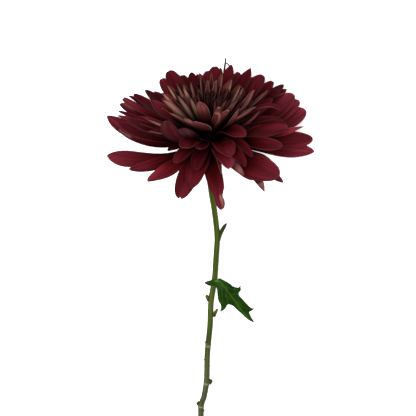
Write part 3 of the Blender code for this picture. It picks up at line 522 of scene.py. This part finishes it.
def over_cone(place, inner):
    """How far a point must move along the axis to reach its own side of the cone."""
    offset = place - BLOOM_PLACE
    height = offset.dot(AXIS)
    limit = CONE_TIP + CONE_SLOPE * (offset - AXIS * height).length
    if inner:
        return max(0.0, limit - height)
    return min(0.0, limit - CONE_ROOM - height)


def placed(name, data):
    """A new object in the scene."""
    made = bpy.data.objects.new(name, data)
    bpy.context.scene.collection.objects.link(made)
    return made


class Skin:
    """Points and faces of a mesh in the making, with the marks on its points."""

    def __init__(self, *marks):
        self.verts = []
        self.faces = []
        self.marks = {mark: [] for mark in marks}

    def point(self, place, *values):
        self.verts.append(place)
        for mark, value in zip(self.marks.values(), values):
            mark.append(value)
        return len(self.verts) - 1

    def loop_between(self, first, second):
        """Faces between two closed rows of as many points."""
        count = len(first)
        for k in range(count):
            self.faces.append((first[k], first[(k + 1) % count], second[(k + 1) % count], second[k]))

    def made(self, name, material):
        mesh = bpy.data.meshes.new(name)
        mesh.from_pydata([place + FOOTPRINT_SHIFT for place in self.verts], [], self.faces)
        for mark, values in self.marks.items():
            mesh.attributes.new(mark, "FLOAT", "POINT").data.foreach_set("value", values)
        mesh.materials.append(material)
        mesh.shade_smooth()
        mesh.set_sharp_from_angle(angle=SHARP_ANGLE)
        return placed(name, mesh)


def stations(body_steps, tip_steps):
    """Shares of the way along a blade: even to its widest place, then closer towards the round tip."""
    body = [WIDEST_PLACE * k / body_steps for k in range(body_steps)]
    rounded = [sin(TIP_END * k / tip_steps) for k in range(tip_steps + 1)]
    return body + [WIDEST_PLACE + (1 - WIDEST_PLACE) * share for share in rounded]


def blade_point(floret, line, share, u, inner):
    """A point halfway through the blade and its normal there. u runs from -1 to 1 across it."""
    past = part_way(share, (WIDEST_PLACE, 1.0))
    tooth = noise.noise(Vector((u * TEETH, floret.phases[0], 0.0)))
    back = floret.notch * peak(u, NOTCH_WIDTH) + floret.ragged * (0.5 + tooth)
    place, side, normal = on_spine(line, share - past ** 3 * back / floret.length)
    half = half_width(floret, share)
    bowl = floret.cup * u
    place = place + side * half * sin(bowl) / floret.cup
    place += normal * half * (1 - cos(bowl)) / floret.cup
    out = normal * cos(bowl) - side * sin(bowl)
    swing = sin(2 * pi * (WAVES * share + WAVE_SLANT * u) + floret.phases[1])
    edge = sin(2 * pi * EDGE_WAVES * share + floret.phases[2] * (1 if u > 0 else 2))
    wave = floret.wave * share * (0.5 * swing + u * u * edge)
    groove = GROOVE_DEPTH * peak(abs(u) - GROOVE_PLACE, GROOVE_WIDTH)
    place += out * (wave - groove * min(1.0, 3 * share) * (1 - past))
    return place + AXIS * over_cone(place, inner), out


def add_blade(skin, floret, grid, inner):
    """Adds a closed blade with its face, its reverse and a thin rim between them."""
    body_steps, tip_steps, across = grid
    line = spine(floret)
    shares = stations(body_steps, tip_steps)
    steps = [sin(0.5 * pi * (2 * k / across - 1)) for k in range(across + 1)]
    rows = []
    for share in shares:
        face, reverse = [], []
        for u in steps:
            middle, out = blade_point(floret, line, share, u, inner)
            thick = 0.5 * (BLADE_EDGE + (BLADE_MIDDLE - BLADE_EDGE) * (1 - u * u) * (1 - share * share))
            top, bottom = middle + out * thick, middle - out * thick
            low = LOWEST - min(bottom.z, top.z)
            if low > 0:
                top.z += low
                bottom.z += low
            shown = float(share >= floret.over or share > FOLD_START and u * floret.fold > FOLD_SIDE)
            face.append(skin.point(top, share, u, shown, floret.tone, 0.5 if shown else floret.blush))
            reverse.append(skin.point(bottom, share, u, 1.0 - shown, floret.tone, floret.blush))
        rows.append(face + reverse[::-1])
    for first, second in zip(rows, rows[1:]):
        skin.loop_between(second, first)
    for row, turned in ((rows[0], False), (rows[-1], True)):
        for k in range(across):
            corners = (row[k], row[k + 1], row[-2 - k], row[-1 - k])
            skin.faces.append(corners if not turned else corners[::-1])


def outer_root(lift):
    """Where an outer floret grows, as (distance from the axis, height)."""
    radius, (low, high), lifts = OUTER_ROOTS
    return radius, low + (high - low) * part_way(degrees(lift), lifts)


def inner_root(lift):
    """Where an inner floret grows, on the domed middle."""
    radius, (low, high), lifts = INNER_ROOTS
    share = part_way(degrees(lift), lifts)
    return radius * cos(0.5 * pi * share), low + (high - low) * share


def aimed(root_of, across, up, reach, width, cup, arch, turn, point, sweep=0, slim=0):
    """A floret whose tip is seen from EYE at a chosen place."""
    near = sqrt(max((reach * MM) ** 2 - (across * MM) ** 2 - (up * MM) ** 2, LEAST_DEPTH ** 2))
    target = towards_eye(across * MM, up * MM, copysign(near, reach))
    target.z = max(target.z, TABLE_LEVEL - BLOOM_PLACE.z)
    azimuth = atan2(target.dot(RIGHT), target.dot(NEAR))
    root = root_of(asin(target.dot(AXIS) / target.length))
    chord = target - around(azimuth) * root[0] - AXIS * root[1]
    lift = atan2(chord.dot(AXIS), chord.dot(around(azimuth)))
    bend = radians(arch)
    length = chord.length * (0.5 * bend / sin(0.5 * bend) if bend else 1.0)
    twist = copysign(radians(turn), across * turn)
    return Floret(azimuth, lift - 0.5 * bend, length, width * MM, radians(cup), bend, twist, point, root,
                  radians(sweep), slim)


def ring(chance, root_of, count, lift, reach, width, cup, arch, start, bare):
    """A ring of florets at nearly equal azimuths, but for the bare ones."""
    florets = []
    for k in range(count):
        azimuth = start + 2 * pi * (k + chance.uniform(-SPACING_CHANGE, SPACING_CHANGE)) / count
        tilt = radians(lift + chance.uniform(-LIFT_CHANGE, LIFT_CHANGE))
        length = reach * chance.uniform(*REACHES) * MM
        bend = radians(arch + chance.uniform(-ARCH_CHANGE, ARCH_CHANGE))
        breadth = width * chance.uniform(*WIDTHS) * MM
        turn = radians(chance.uniform(-TURN_CHANGE, TURN_CHANGE))
        bowl = radians(cup * chance.uniform(*CUPS))
        point = chance.uniform(*POINTS)
        sweep = radians(chance.uniform(-SWEEP_CHANGE, SWEEP_CHANGE))
        where = (degrees(azimuth) + 180) % 360 - 180
        if not any(first < where < last for first, last in bare):
            florets.append(Floret(azimuth, tilt - 0.5 * bend, length, breadth, bowl, bend, turn, point,
                                  root_of(tilt), sweep))
    return florets


def dressed(root_of, rows, blushes, tones, bright, curls, changes, quirks):
    """The florets of a table above, with what is said of them beside it."""
    florets = []
    for k, (row, blush) in enumerate(zip(rows, blushes)):
        floret = aimed(root_of, *row)
        # Far-side florets take a darker brightness as painted shade
        floret.dress(quirks, blush, tones if row[2] > 0 else FAR_SHADE_TONES, curls.get(k, 0))
        # A listed brightness, partly the floret's own and partly painted light and shade, replaces the drawn
        # one
        floret.tone = bright.get(k, floret.tone)
        vars(floret).update(changes.get(k, {}))
        florets.append(floret)
    return florets


def outer_florets(chance, quirks):
    """The florets of the burgundy node, in their layers."""
    florets = dressed(outer_root, SKIRT, SKIRT_BLUSH, SKIRT_TONES, SKIRT_TONE_AND_LIGHT, {}, SKIRT_CHANGES, quirks)
    florets += dressed(outer_root, FRONT, FRONT_BLUSH, FRONT_TONES, FRONT_TONE_AND_LIGHT, FRONT_CURLS, {}, quirks)
    florets += [floret.dress(quirks, blush=0.85, tones=RING_TONES)
                for row in OUTER_RINGS for floret in ring(chance, outer_root, *row)]
    # The filling florets, dark as painted shade
    florets += [floret.dress(quirks, blush=1.0, tones=FILL_SHADE_TONES)
                for row in OUTER_FILL for floret in ring(quirks, outer_root, *row)]
    return florets


def inner_florets(chance, quirks):
    """The florets of the pale node, in their layers."""
    florets = dressed(inner_root, HEART, HEART_BLUSH, HEART_TONES, HEART_TONE_AND_LIGHT, HEART_CURLS, HEART_CHANGES,
                      quirks)
    # The inner rings' florets, darker partly as painted shade in the bloom's depth
    florets += [floret.dress(quirks, blush=quirks.uniform(0.3, 1.0), tones=INNER_SHADE_TONES)
                for row in INNER_RINGS for floret in ring(chance, inner_root, *row)]
    # The filling florets, dark as painted shade
    florets += [floret.dress(quirks, blush=quirks.uniform(0.6, 1.0), tones=FILL_SHADE_TONES)
                for row in INNER_FILL for floret in ring(quirks, inner_root, *row)]
    return florets


def turned_on_axis(skin, profile, *values):
    """Adds a solid turned about the bloom's axis from a profile that starts and ends on it."""
    rows = []
    for radius, height in profile:
        row = []
        for k in range(CORE_SIDES):
            place = BLOOM_PLACE + around(2 * pi * k / CORE_SIDES) * radius * MM + AXIS * height * MM
            row.append(skin.point(place, *values))
        rows.append(row)
    for first, second in zip(rows, rows[1:]):
        skin.loop_between(first, second)
    skin.faces.append(tuple(rows[0]))
    skin.faces.append(tuple(rows[-1][::-1]))


def smooth_line(points, steps, scale=MM):
    """Points along a smooth curve through the given ones."""
    corners = [Vector(p) * scale for p in points]
    line = [corners[0]]
    for k in range(len(corners) - 1):
        before = corners[max(k - 1, 0)]
        after = corners[min(k + 2, len(corners) - 1)]
        start_handle = corners[k] + (corners[k + 1] - before) / 6
        end_handle = corners[k + 1] - (after - corners[k]) / 6
        line += interpolate_bezier(corners[k], start_handle, end_handle, corners[k + 1], steps + 1)[1:]
    return line


class Shader:
    """A material in the making, and short ways to add nodes to it."""

    def __init__(self, name, values):
        self.material = bpy.data.materials.new(name)
        self.material.use_nodes = True
        self.tree = self.material.node_tree
        self.surface = self.tree.nodes["Principled BSDF"]
        for socket, value in values.items():
            self.surface.inputs[socket].default_value = value

    def node(self, kind, wires, out=0, **settings):
        """Adds a node. wires has values or other nodes' outputs for its inputs."""
        made = self.tree.nodes.new("ShaderNode" + kind)
        for setting, value in settings.items():
            setattr(made, setting, value)
        for key, value in wires.items():
            self.wire(made.inputs[key], value)
        return made.outputs[out]

    def wire(self, socket, value):
        if isinstance(value, bpy.types.NodeSocket):
            self.tree.links.new(value, socket)
        else:
            socket.default_value = value

    def marks(self, *names):
        """What these marks on the mesh's points say."""
        return [self.node("Attribute", {}, out=2, attribute_name=name) for name in names]

    def math(self, operation, first, second=0.0):
        return self.node("Math", {0: first, 1: second}, operation=operation)

    def times(self, first, second):
        return self.math("MULTIPLY", first, second)

    def span(self, value, low, high, to_low=0.0, to_high=1.0):
        """A value's place between low and high, turned into one between two others."""
        return self.node("MapRange", {0: value, 1: low, 2: high, 3: to_low, 4: to_high},
                         interpolation_type="SMOOTHSTEP")

    def streaks(self, x, x_scale, y, y_scale, z, detail=2.0):
        """Noise at a place given by three numbers, the first two of them scaled."""
        place = self.node("CombineXYZ", {0: self.times(x, x_scale), 1: self.times(y, y_scale), 2: z})
        return self.node("TexNoise", {"Vector": place, "Scale": 1.0, "Detail": detail})

    def mix(self, share, first, second, blend="MIX"):
        colours = [(*c, 1.0) if isinstance(c, tuple) else c for c in (first, second)]
        return self.node("Mix", {0: share, 6: colours[0], 7: colours[1]}, out=2, data_type="RGBA",
                         blend_type=blend)

    def finished(self, colour, height, strength, depth):
        """The material with its colour and its bumps: their height, strength and depth in mm."""
        bumps = {"Height": height, "Strength": strength, "Distance": depth * MM}
        self.wire(self.surface.inputs["Normal"], self.node("Bump", bumps))
        self.wire(self.surface.inputs["Base Color"], colour)
        return self.material


def petal_material(name, faces, reverses, edge, margin, pale_share, painted_root_shade, painted_shade_fade):
    """The florets' material, which changes along and across each and from one to the next."""
    mat = Shader(name, {"Specular IOR Level": 0.015})
    along, across, reverse, tone, blush = mat.marks(*BLADE_MARKS)
    blush = mat.times(blush, mat.span(along, 0.3, 0.95, 1.6, 0.9))
    seed = mat.times(tone, 90.0)
    broad = mat.streaks(across, 2.2, along, 1.6, seed)
    fine = mat.streaks(across, 13.0, along, 1.2, seed)
    patches = mat.span(broad, 0.3, 0.7)
    veins = mat.span(fine, 0.35, 0.65)

    # The face, from the root to the tip, darker at the root partly as painted shade
    face = mat.mix(mat.span(along, 0.1, 0.5), faces[0], faces[1])
    tip = mat.mix(mat.span(tone, 0.55, 1.0), faces[2], faces[3])
    face = mat.mix(mat.span(along, 0.55, 1.0), face, tip)

    # The reverse, with its dark edge and tip, partly its own colour and partly painted shade that leaves a
    # painted highlight along its middle, and its streaks
    back = mat.mix(mat.span(blush, 0.0, 0.5), reverses[0], reverses[1])
    back = mat.mix(mat.span(blush, 0.5, 1.0), back, reverses[2])
    off_middle = mat.math("ABSOLUTE", across)
    edge_and_shade = mat.math("MAXIMUM", mat.span(off_middle, 0.6, 1.0), mat.span(along, 0.85, 1.0, 0.0, 0.7))
    back = mat.mix(mat.times(edge_and_shade, 0.8), back, edge)
    streak = mat.times(mat.span(fine, 0.62, 0.4, 0.0, 0.6), mat.span(blush, 0.0, 0.7, 0.3, 1.0))
    back = mat.mix(streak, back, edge)

    # Both, with the pale margin, darkened towards the root by painted shade, scaled by each floret's
    # brightness, partly its own and partly painted light and shade, and darker in the patches and veins
    colour = mat.mix(reverse, face, back)
    in_margin = mat.math("MAXIMUM", mat.span(off_middle, 0.86, 0.99), mat.span(along, 0.96, 1.0))
    colour = mat.mix(mat.times(in_margin, mat.span(blush, 0.3, 0.9, 0.0, pale_share)), colour, margin)
    level = mat.times(mat.span(along, *painted_shade_fade, painted_root_shade, 1.0), tone)
    level = mat.times(level, mat.span(patches, 0.0, 1.0, 0.72, 1.15))
    level = mat.times(level, mat.span(veins, 0.0, 1.0, 0.85, 1.1))
    grey = mat.node("CombineColor", {0: level, 1: level, 2: level})
    mat.wire(mat.surface.inputs["Roughness"], mat.span(broad, 0.2, 0.8, 0.45, 0.65))
    return mat.finished(mat.mix(1.0, colour, grey, "MULTIPLY"), fine, 0.5, 0.2)


def bract_material():
    """The cup's and the bracts' material: streaked green with papery edges and tips."""
    mat = Shader("bract_green", {"Roughness": 0.6, "Specular IOR Level": 0.03})
    along, across, tone = mat.marks("along", "across", "tone")
    fine = mat.streaks(across, 8.0, along, 2.0, tone)
    green = mat.mix(mat.span(fine, 0.3, 0.7), (0.016, 0.032, 0.004), (0.036, 0.060, 0.010))
    papery = mat.span(mat.math("ABSOLUTE", across), 0.62, 0.95)
    colour = mat.mix(papery, green, (0.15, 0.11, 0.055))
    colour = mat.mix(mat.span(along, 0.85, 1.0), colour, (0.11, 0.065, 0.035))
    return mat.finished(colour, fine, 0.4, 0.1)


def stem_material():
    """The stem's material: streaked green, greyer lower down, with spots, scars and brown buds."""
    mat = Shader("stem_green", {"Roughness": 0.5, "Specular IOR Level": 0.03})
    along, turn, scar, bark, dark = mat.marks("along", "turn", "scar", "bark", "dark")
    fine = mat.streaks(turn, 9.0, along, 6.0, 3.0, 3.0)
    spots = mat.streaks(turn, 3.0, along, 60.0, 8.0, 3.0)
    upper = mat.mix(mat.span(fine, 0.35, 0.65), (0.019, 0.031, 0.002), (0.038, 0.055, 0.007))
    lower = mat.mix(mat.span(fine, 0.35, 0.65), (0.020, 0.024, 0.009), (0.046, 0.052, 0.021))
    colour = mat.mix(mat.span(along, 0.5, 0.78), upper, lower)
    colour = mat.mix(mat.times(mat.span(spots, 0.55, 0.8), 0.4), colour, (0.06, 0.042, 0.02))
    colour = mat.mix(scar, colour, (0.20, 0.205, 0.10))
    colour = mat.mix(bark, colour, (0.085, 0.060, 0.018))
    colour = mat.mix(dark, colour, (0.012, 0.018, 0.004))
    return mat.finished(colour, fine, 0.4, 0.15)


def leaf_material():
    """The leaf's material: grained dark green with paler veins, a pale foot and dark tips."""
    mat = Shader("leaf_green", {"Roughness": 0.5, "Specular IOR Level": 0.02})
    vein, under, tip = mat.marks("vein", "under", "tip")
    place = mat.node("TexCoord", {}, out=3)
    cells = mat.node("TexNoise", {"Vector": place, "Scale": 220.0, "Detail": 4.0})
    grain = mat.node("TexVoronoi", {"Vector": place, "Scale": 900.0}, feature="DISTANCE_TO_EDGE")
    green = mat.mix(mat.span(cells, 0.35, 0.65), (0.0028, 0.0140, 0.0005), (0.0070, 0.0260, 0.0010))
    colour = mat.mix(vein, green, (0.028, 0.064, 0.008))
    colour = mat.mix(mat.span(vein, 0.75, 1.6), colour, (0.10, 0.115, 0.05))
    colour = mat.mix(under, colour, mat.mix(vein, (0.035, 0.06, 0.022), (0.08, 0.12, 0.045)))
    colour = mat.mix(tip, colour, (0.008, 0.014, 0.006))
    return mat.finished(colour, mat.math("ADD", cells, mat.span(grain, 0.0, 0.15, 0.0, 0.3)), 0.5, 0.12)


def set_up(piece, node):
    """Makes a piece ride with the flower and stand for its node, whose solid it hides."""
    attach(piece, "root")
    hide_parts(node)


def make_bloom():
    chance = random.Random(SEED)
    quirks = random.Random(SEED + 1)
    outer = Skin(*BLADE_MARKS)
    turned_on_axis(outer, OUTER_CORE, *CORE_SHADE_MARKS)
    for floret in outer_florets(chance, quirks):
        add_blade(outer, floret, OUTER_GRID, False)
    for corners, foot, tip in SLIVERS:
        line = seen_line(corners, SLIVER_STEPS)

        def sliver_radius(k, turn):
            return (foot + (tip - foot) * (k / (len(line) - 1)) ** SLIVER_TAPER) * MM

        add_tube(outer, line, sliver_radius, lambda k, turn: SLIVER_MARKS, sides=8)
    inner = Skin(*BLADE_MARKS)
    turned_on_axis(inner, INNER_CORE, *CORE_SHADE_MARKS)
    for floret in inner_florets(chance, quirks):
        add_blade(inner, floret, INNER_GRID, True)
    burgundy = petal_material("burgundy_petal", **BURGUNDY)
    pale = petal_material("pale_petal", **PALE)
    set_up(outer.made("burgundy_blades", burgundy), "outer_florets")
    set_up(inner.made("pale_blades", pale), "inner_florets")


def make_involucre():
    quirks = random.Random(SEED + 2)
    skin = Skin(*BLADE_MARKS)
    turned_on_axis(skin, CUP_PROFILE, *CUP_MARKS)
    for row, (radius, height, lift, length) in enumerate(BRACT_ROWS):
        for k in range(BRACTS):
            azimuth = 2 * pi * (k + 0.5 * row) / BRACTS
            bract = Floret(azimuth, radians(lift), BRACT_LENGTH * length, BRACT_WIDTH, BRACT_CUP,
                           BRACT_ARCH, 0.0, BRACT_POINT, (radius * MM, height * MM))
            bract.dress(quirks, blush=0.0, tones=(0.0, 1.0))
            bract.wave *= BRACT_WAVINESS
            add_blade(skin, bract, BRACT_GRID, False)
    set_up(skin.made("involucre_bracts", bract_material()), "involucre")


def add_tube(skin, line, radius_at, values_at, sides):
    """Adds a tube along a line. radius_at and values_at give its radius and its marks."""
    rows = []
    for k, place in enumerate(line):
        ahead = (line[min(k + 1, len(line) - 1)] - line[max(k - 1, 0)]).normalized()
        side = ahead.cross(Vector((0, 0, 1))).normalized()
        rise = side.cross(ahead)
        row = []
        for j in range(sides):
            turn = j / sides
            angle = 2 * pi * turn
            point = place + (side * cos(angle) + rise * sin(angle)) * radius_at(k, turn)
            point.z = max(point.z, LOWEST)
            row.append(skin.point(point, *values_at(k, turn)))
        rows.append(row)
    for first, second in zip(rows, rows[1:]):
        skin.loop_between(first, second)
    skin.faces.append(tuple(rows[0][::-1]))
    skin.faces.append(tuple(rows[-1]))


def make_stem():
    skin = Skin("along", "turn", "scar", "bark", "dark")
    line = smooth_line(STEM_LINE, STEM_STEPS)
    last = len(line) - 1

    def radius_at(k, turn):
        neck = 1 + (STEM_NECK / STEM_RADIUS - 1) * max(0.0, 1 - k / (NECK_STRETCHES * STEM_STEPS)) ** 2
        ribs = 1 + RIB_SHARE * cos(2 * pi * STEM_RIBS * turn)
        knot = sum(peak(line[k].y / MM - scar, KNOT_WIDTH) for scar in SCARS)
        return STEM_RADIUS * neck * (ribs + KNOT_SHARE * knot)

    def values_at(k, turn):
        lean = SCAR_LEAN * sin(2 * pi * turn)
        scar = max(peak(line[k].y / MM + lean - scar, SCAR_WIDTH) for scar in SCARS)
        return k / last, turn if turn < 0.5 else 1 - turn, SCAR_PALENESS * scar, 0.0, 0.0

    add_tube(skin, line, radius_at, values_at, STEM_SIDES)
    for foot, tip, foot_radius, tip_radius, dark_place, darkness in BUDS:
        foot, tip = Vector(foot) * MM, Vector(tip) * MM
        tip += (tip - foot).normalized() * tip_radius * MM * 0.5
        bud = [foot.lerp(tip, k / BUD_STEPS) for k in range(BUD_STEPS + 1)]

        def bud_radius(k, turn):
            share = k / BUD_STEPS
            end = max(0.0, share - BUD_ROUNDED) / (1 - BUD_ROUNDED)
            width = foot_radius + (tip_radius - foot_radius) * share
            ribs = 1 + BUD_RIB_SHARE * cos(2 * pi * BUD_RIBS * turn)
            return width * MM * max(BUD_END, sqrt(1 - end ** 2)) * ribs

        def bud_values(k, turn):
            return 0.7, turn, 0.0, BUD_BARK, darkness * peak(k / BUD_STEPS - dark_place, BUD_SHADE_WIDTH)

        add_tube(skin, bud, bud_radius, bud_values, sides=14)
    spur = smooth_line(SPUR_LINE, SPUR_STEPS)

    def spur_radius(k, turn):
        share = k / (len(spur) - 1) * (len(SPUR_HALF_WIDTHS) - 1)
        first = min(int(share), len(SPUR_HALF_WIDTHS) - 2)
        low, high = SPUR_HALF_WIDTHS[first:first + 2]
        width = (low + (high - low) * (share - first)) * MM
        return width * (SPUR_THICKNESS + (1 - SPUR_THICKNESS) * abs(cos(2 * pi * turn)))

    def spur_values(k, turn):
        return 0.2, turn, 0.0, 0.0, min(1.0, SPUR_DARKNESS + k / len(spur))

    add_tube(skin, spur, spur_radius, spur_values, sides=16)
    set_up(skin.made("ribbed_stem", stem_material()), "stem")


def to_line(x, y, line):
    """How far a point is from a line, and how far along it the nearest place is."""
    nearest, along = (inf, 0.0), 0.0
    for (ax, ay), (bx, by) in zip(line, line[1:]):
        run = hypot(bx - ax, by - ay)
        share = min(1.0, max(0.0, ((x - ax) * (bx - ax) + (y - ay) * (by - ay)) / run ** 2))
        off = hypot(x - ax - share * (bx - ax), y - ay - share * (by - ay))
        if off < nearest[0]:
            nearest = (off, along + share * run)
        along += run
    return nearest


def leaf_height(x, y):
    """The height of the leaf's upper side, which falls away from the midrib's arch to both sides."""
    off, along = to_line(x, y, LEAF_MIDRIB)
    along += hypot(x, y) if x < 0 else 0.0
    for (start, low), (end, high) in zip(LEAF_HEIGHTS, LEAF_HEIGHTS[1:]):
        if along <= end:
            break
    share = min(1.0, (along - start) / (end - start))
    ridge = low + (high - low) * share
    return max(ridge - LEAF_FALL * off * min(1.0, along / LEAF_FALL_START), LEAF_LEAST_HEIGHT)


def inside(x, y, edge):
    """True if a point lies inside a closed edge."""
    within = False
    for (ax, ay), (bx, by) in zip(edge, edge[1:]):
        if (ay > y) != (by > y) and x < ax + (y - ay) / (by - ay) * (bx - ax):
            within = not within
    return within


def leaf_grid(edge):
    """Points in staggered rows inside the leaf's closed edge."""
    left, top, size = -8, 2, 36
    row_space = LEAF_GRID * 0.95
    edge_space = 0.4 * LEAF_GRID
    grid = []
    count = ceil(size / LEAF_GRID)
    for i in range(count):
        for j in range(count):
            x, y = left + (i + 0.5 * (j % 2)) * LEAF_GRID, top - j * row_space
            if inside(x, y, edge) and to_line(x, y, edge)[0] > edge_space:
                grid.append((x, y))
    return grid


def make_leaf():
    edge = smooth_line(LEAF_EDGE + LEAF_EDGE[:1], 3, 1.0)
    edge[-1] = edge[0]
    rib = smooth_line(LEAF_MIDRIB, 4, 1.0)
    count = len(edge) - 1
    loop = [(k, (k + 1) % count) for k in range(count)]
    points, _, triangles, *_ = delaunay_2d_cdt(edge[:-1] + leaf_grid(edge), loop, [list(range(count))], 1,
                                               0.001)
    tips = [LEAF_EDGE[k] for k in LEAF_TIPS]
    skin = Skin("vein", "under", "tip")
    upper, lower = [], []
    for point in points:
        rib_off = to_line(*point, rib)[0]
        side_off = min(to_line(*point, line)[0] for line in LEAF_VEINS)
        vein = max(MIDRIB[0] * peak(rib_off, MIDRIB[1]), SIDE_VEIN[0] * peak(side_off, SIDE_VEIN[1]))
        vein += LEAF_FOOT[0] * peak(dist(point, LEAF_FOOT_PLACE), LEAF_FOOT[1])
        quilt = min(1.0, side_off / QUILT_WIDTH, rib_off / QUILT_WIDTH) - 1
        height = leaf_height(*point) - VEIN_SUNK * vein + QUILT_HEIGHT * quilt
        tip = max(peak(dist(point, corner), LEAF_TIP_WIDTH) for corner in tips)
        place = LEAF_PLACE + Vector((*point, max(height, LEAF_LEAST_HEIGHT))) * MM
        inner = min(1.0, to_line(*point, edge)[0] / LEAF_EDGE_DEPTH)
        thick = LEAF_THICKNESS * (LEAF_EDGE_SHARE + (1 - LEAF_EDGE_SHARE) * inner) + VEIN_RAISED * MM * vein
        under = place - Vector((0, 0, thick))
        under.z = max(under.z, LOWEST)
        upper.append(skin.point(place, vein, 0.0, tip))
        lower.append(skin.point(under, vein, 1.0, tip))
    for a, b, c in triangles:
        skin.faces.append((upper[a], upper[b], upper[c]))
        skin.faces.append((lower[c], lower[b], lower[a]))
    sides = dict.fromkeys(side for a, b, c in triangles for side in ((a, b), (b, c), (c, a)))
    for a, b in sides:
        if (b, a) not in sides:
            skin.faces.append((upper[b], upper[a], lower[a], lower[b]))
    set_up(skin.made("veined_leaf", leaf_material()), "leaf")


def make_room():
    """The floor, the lights and the camera above the flower."""
    mesh = bpy.data.meshes.new("floor")
    corners = [(x * FLOOR_SIZE, y * FLOOR_SIZE, 0) for x, y in ((-1, -1), (1, -1), (1, 1), (-1, 1))]
    mesh.from_pydata(corners, [], [(0, 1, 2, 3)])
    floor = placed("floor", mesh)
    mat = Shader("floor_white", {"Base Color": (0.86, 0.86, 0.86, 1), "Roughness": 0.9,
                                 "Specular IOR Level": 0.1, "Emission Color": (1, 1, 1, 1),
                                 "Emission Strength": 0.35})
    mesh.materials.append(mat.material)

    world = bpy.data.worlds.new("room")
    world.use_nodes = True
    light = world.node_tree.nodes["Background"].inputs
    light["Color"].default_value = (1, 1, 1, 1)
    light["Strength"].default_value = 0.35
    bpy.context.scene.world = world
    for name, place, size, power in LAMPS:
        lamp = placed(name, bpy.data.lights.new(name, "AREA"))
        lamp.data.size = size
        lamp.data.energy = power
        lamp.location = place
        lamp.rotation_euler = (LAMP_TARGET - lamp.location).to_track_quat("-Z", "Y").to_euler()

    camera = placed("camera", bpy.data.cameras.new("camera"))
    camera.data.lens = 100
    camera.data.clip_end = 10
    camera.location = EYE + FOOTPRINT_SHIFT
    bpy.context.scene.camera = camera
    bpy.context.scene.view_settings.view_transform = "Standard"


make_bloom()
make_involucre()
make_stem()
make_leaf()
make_room()

bpy.context.view_layer.update()
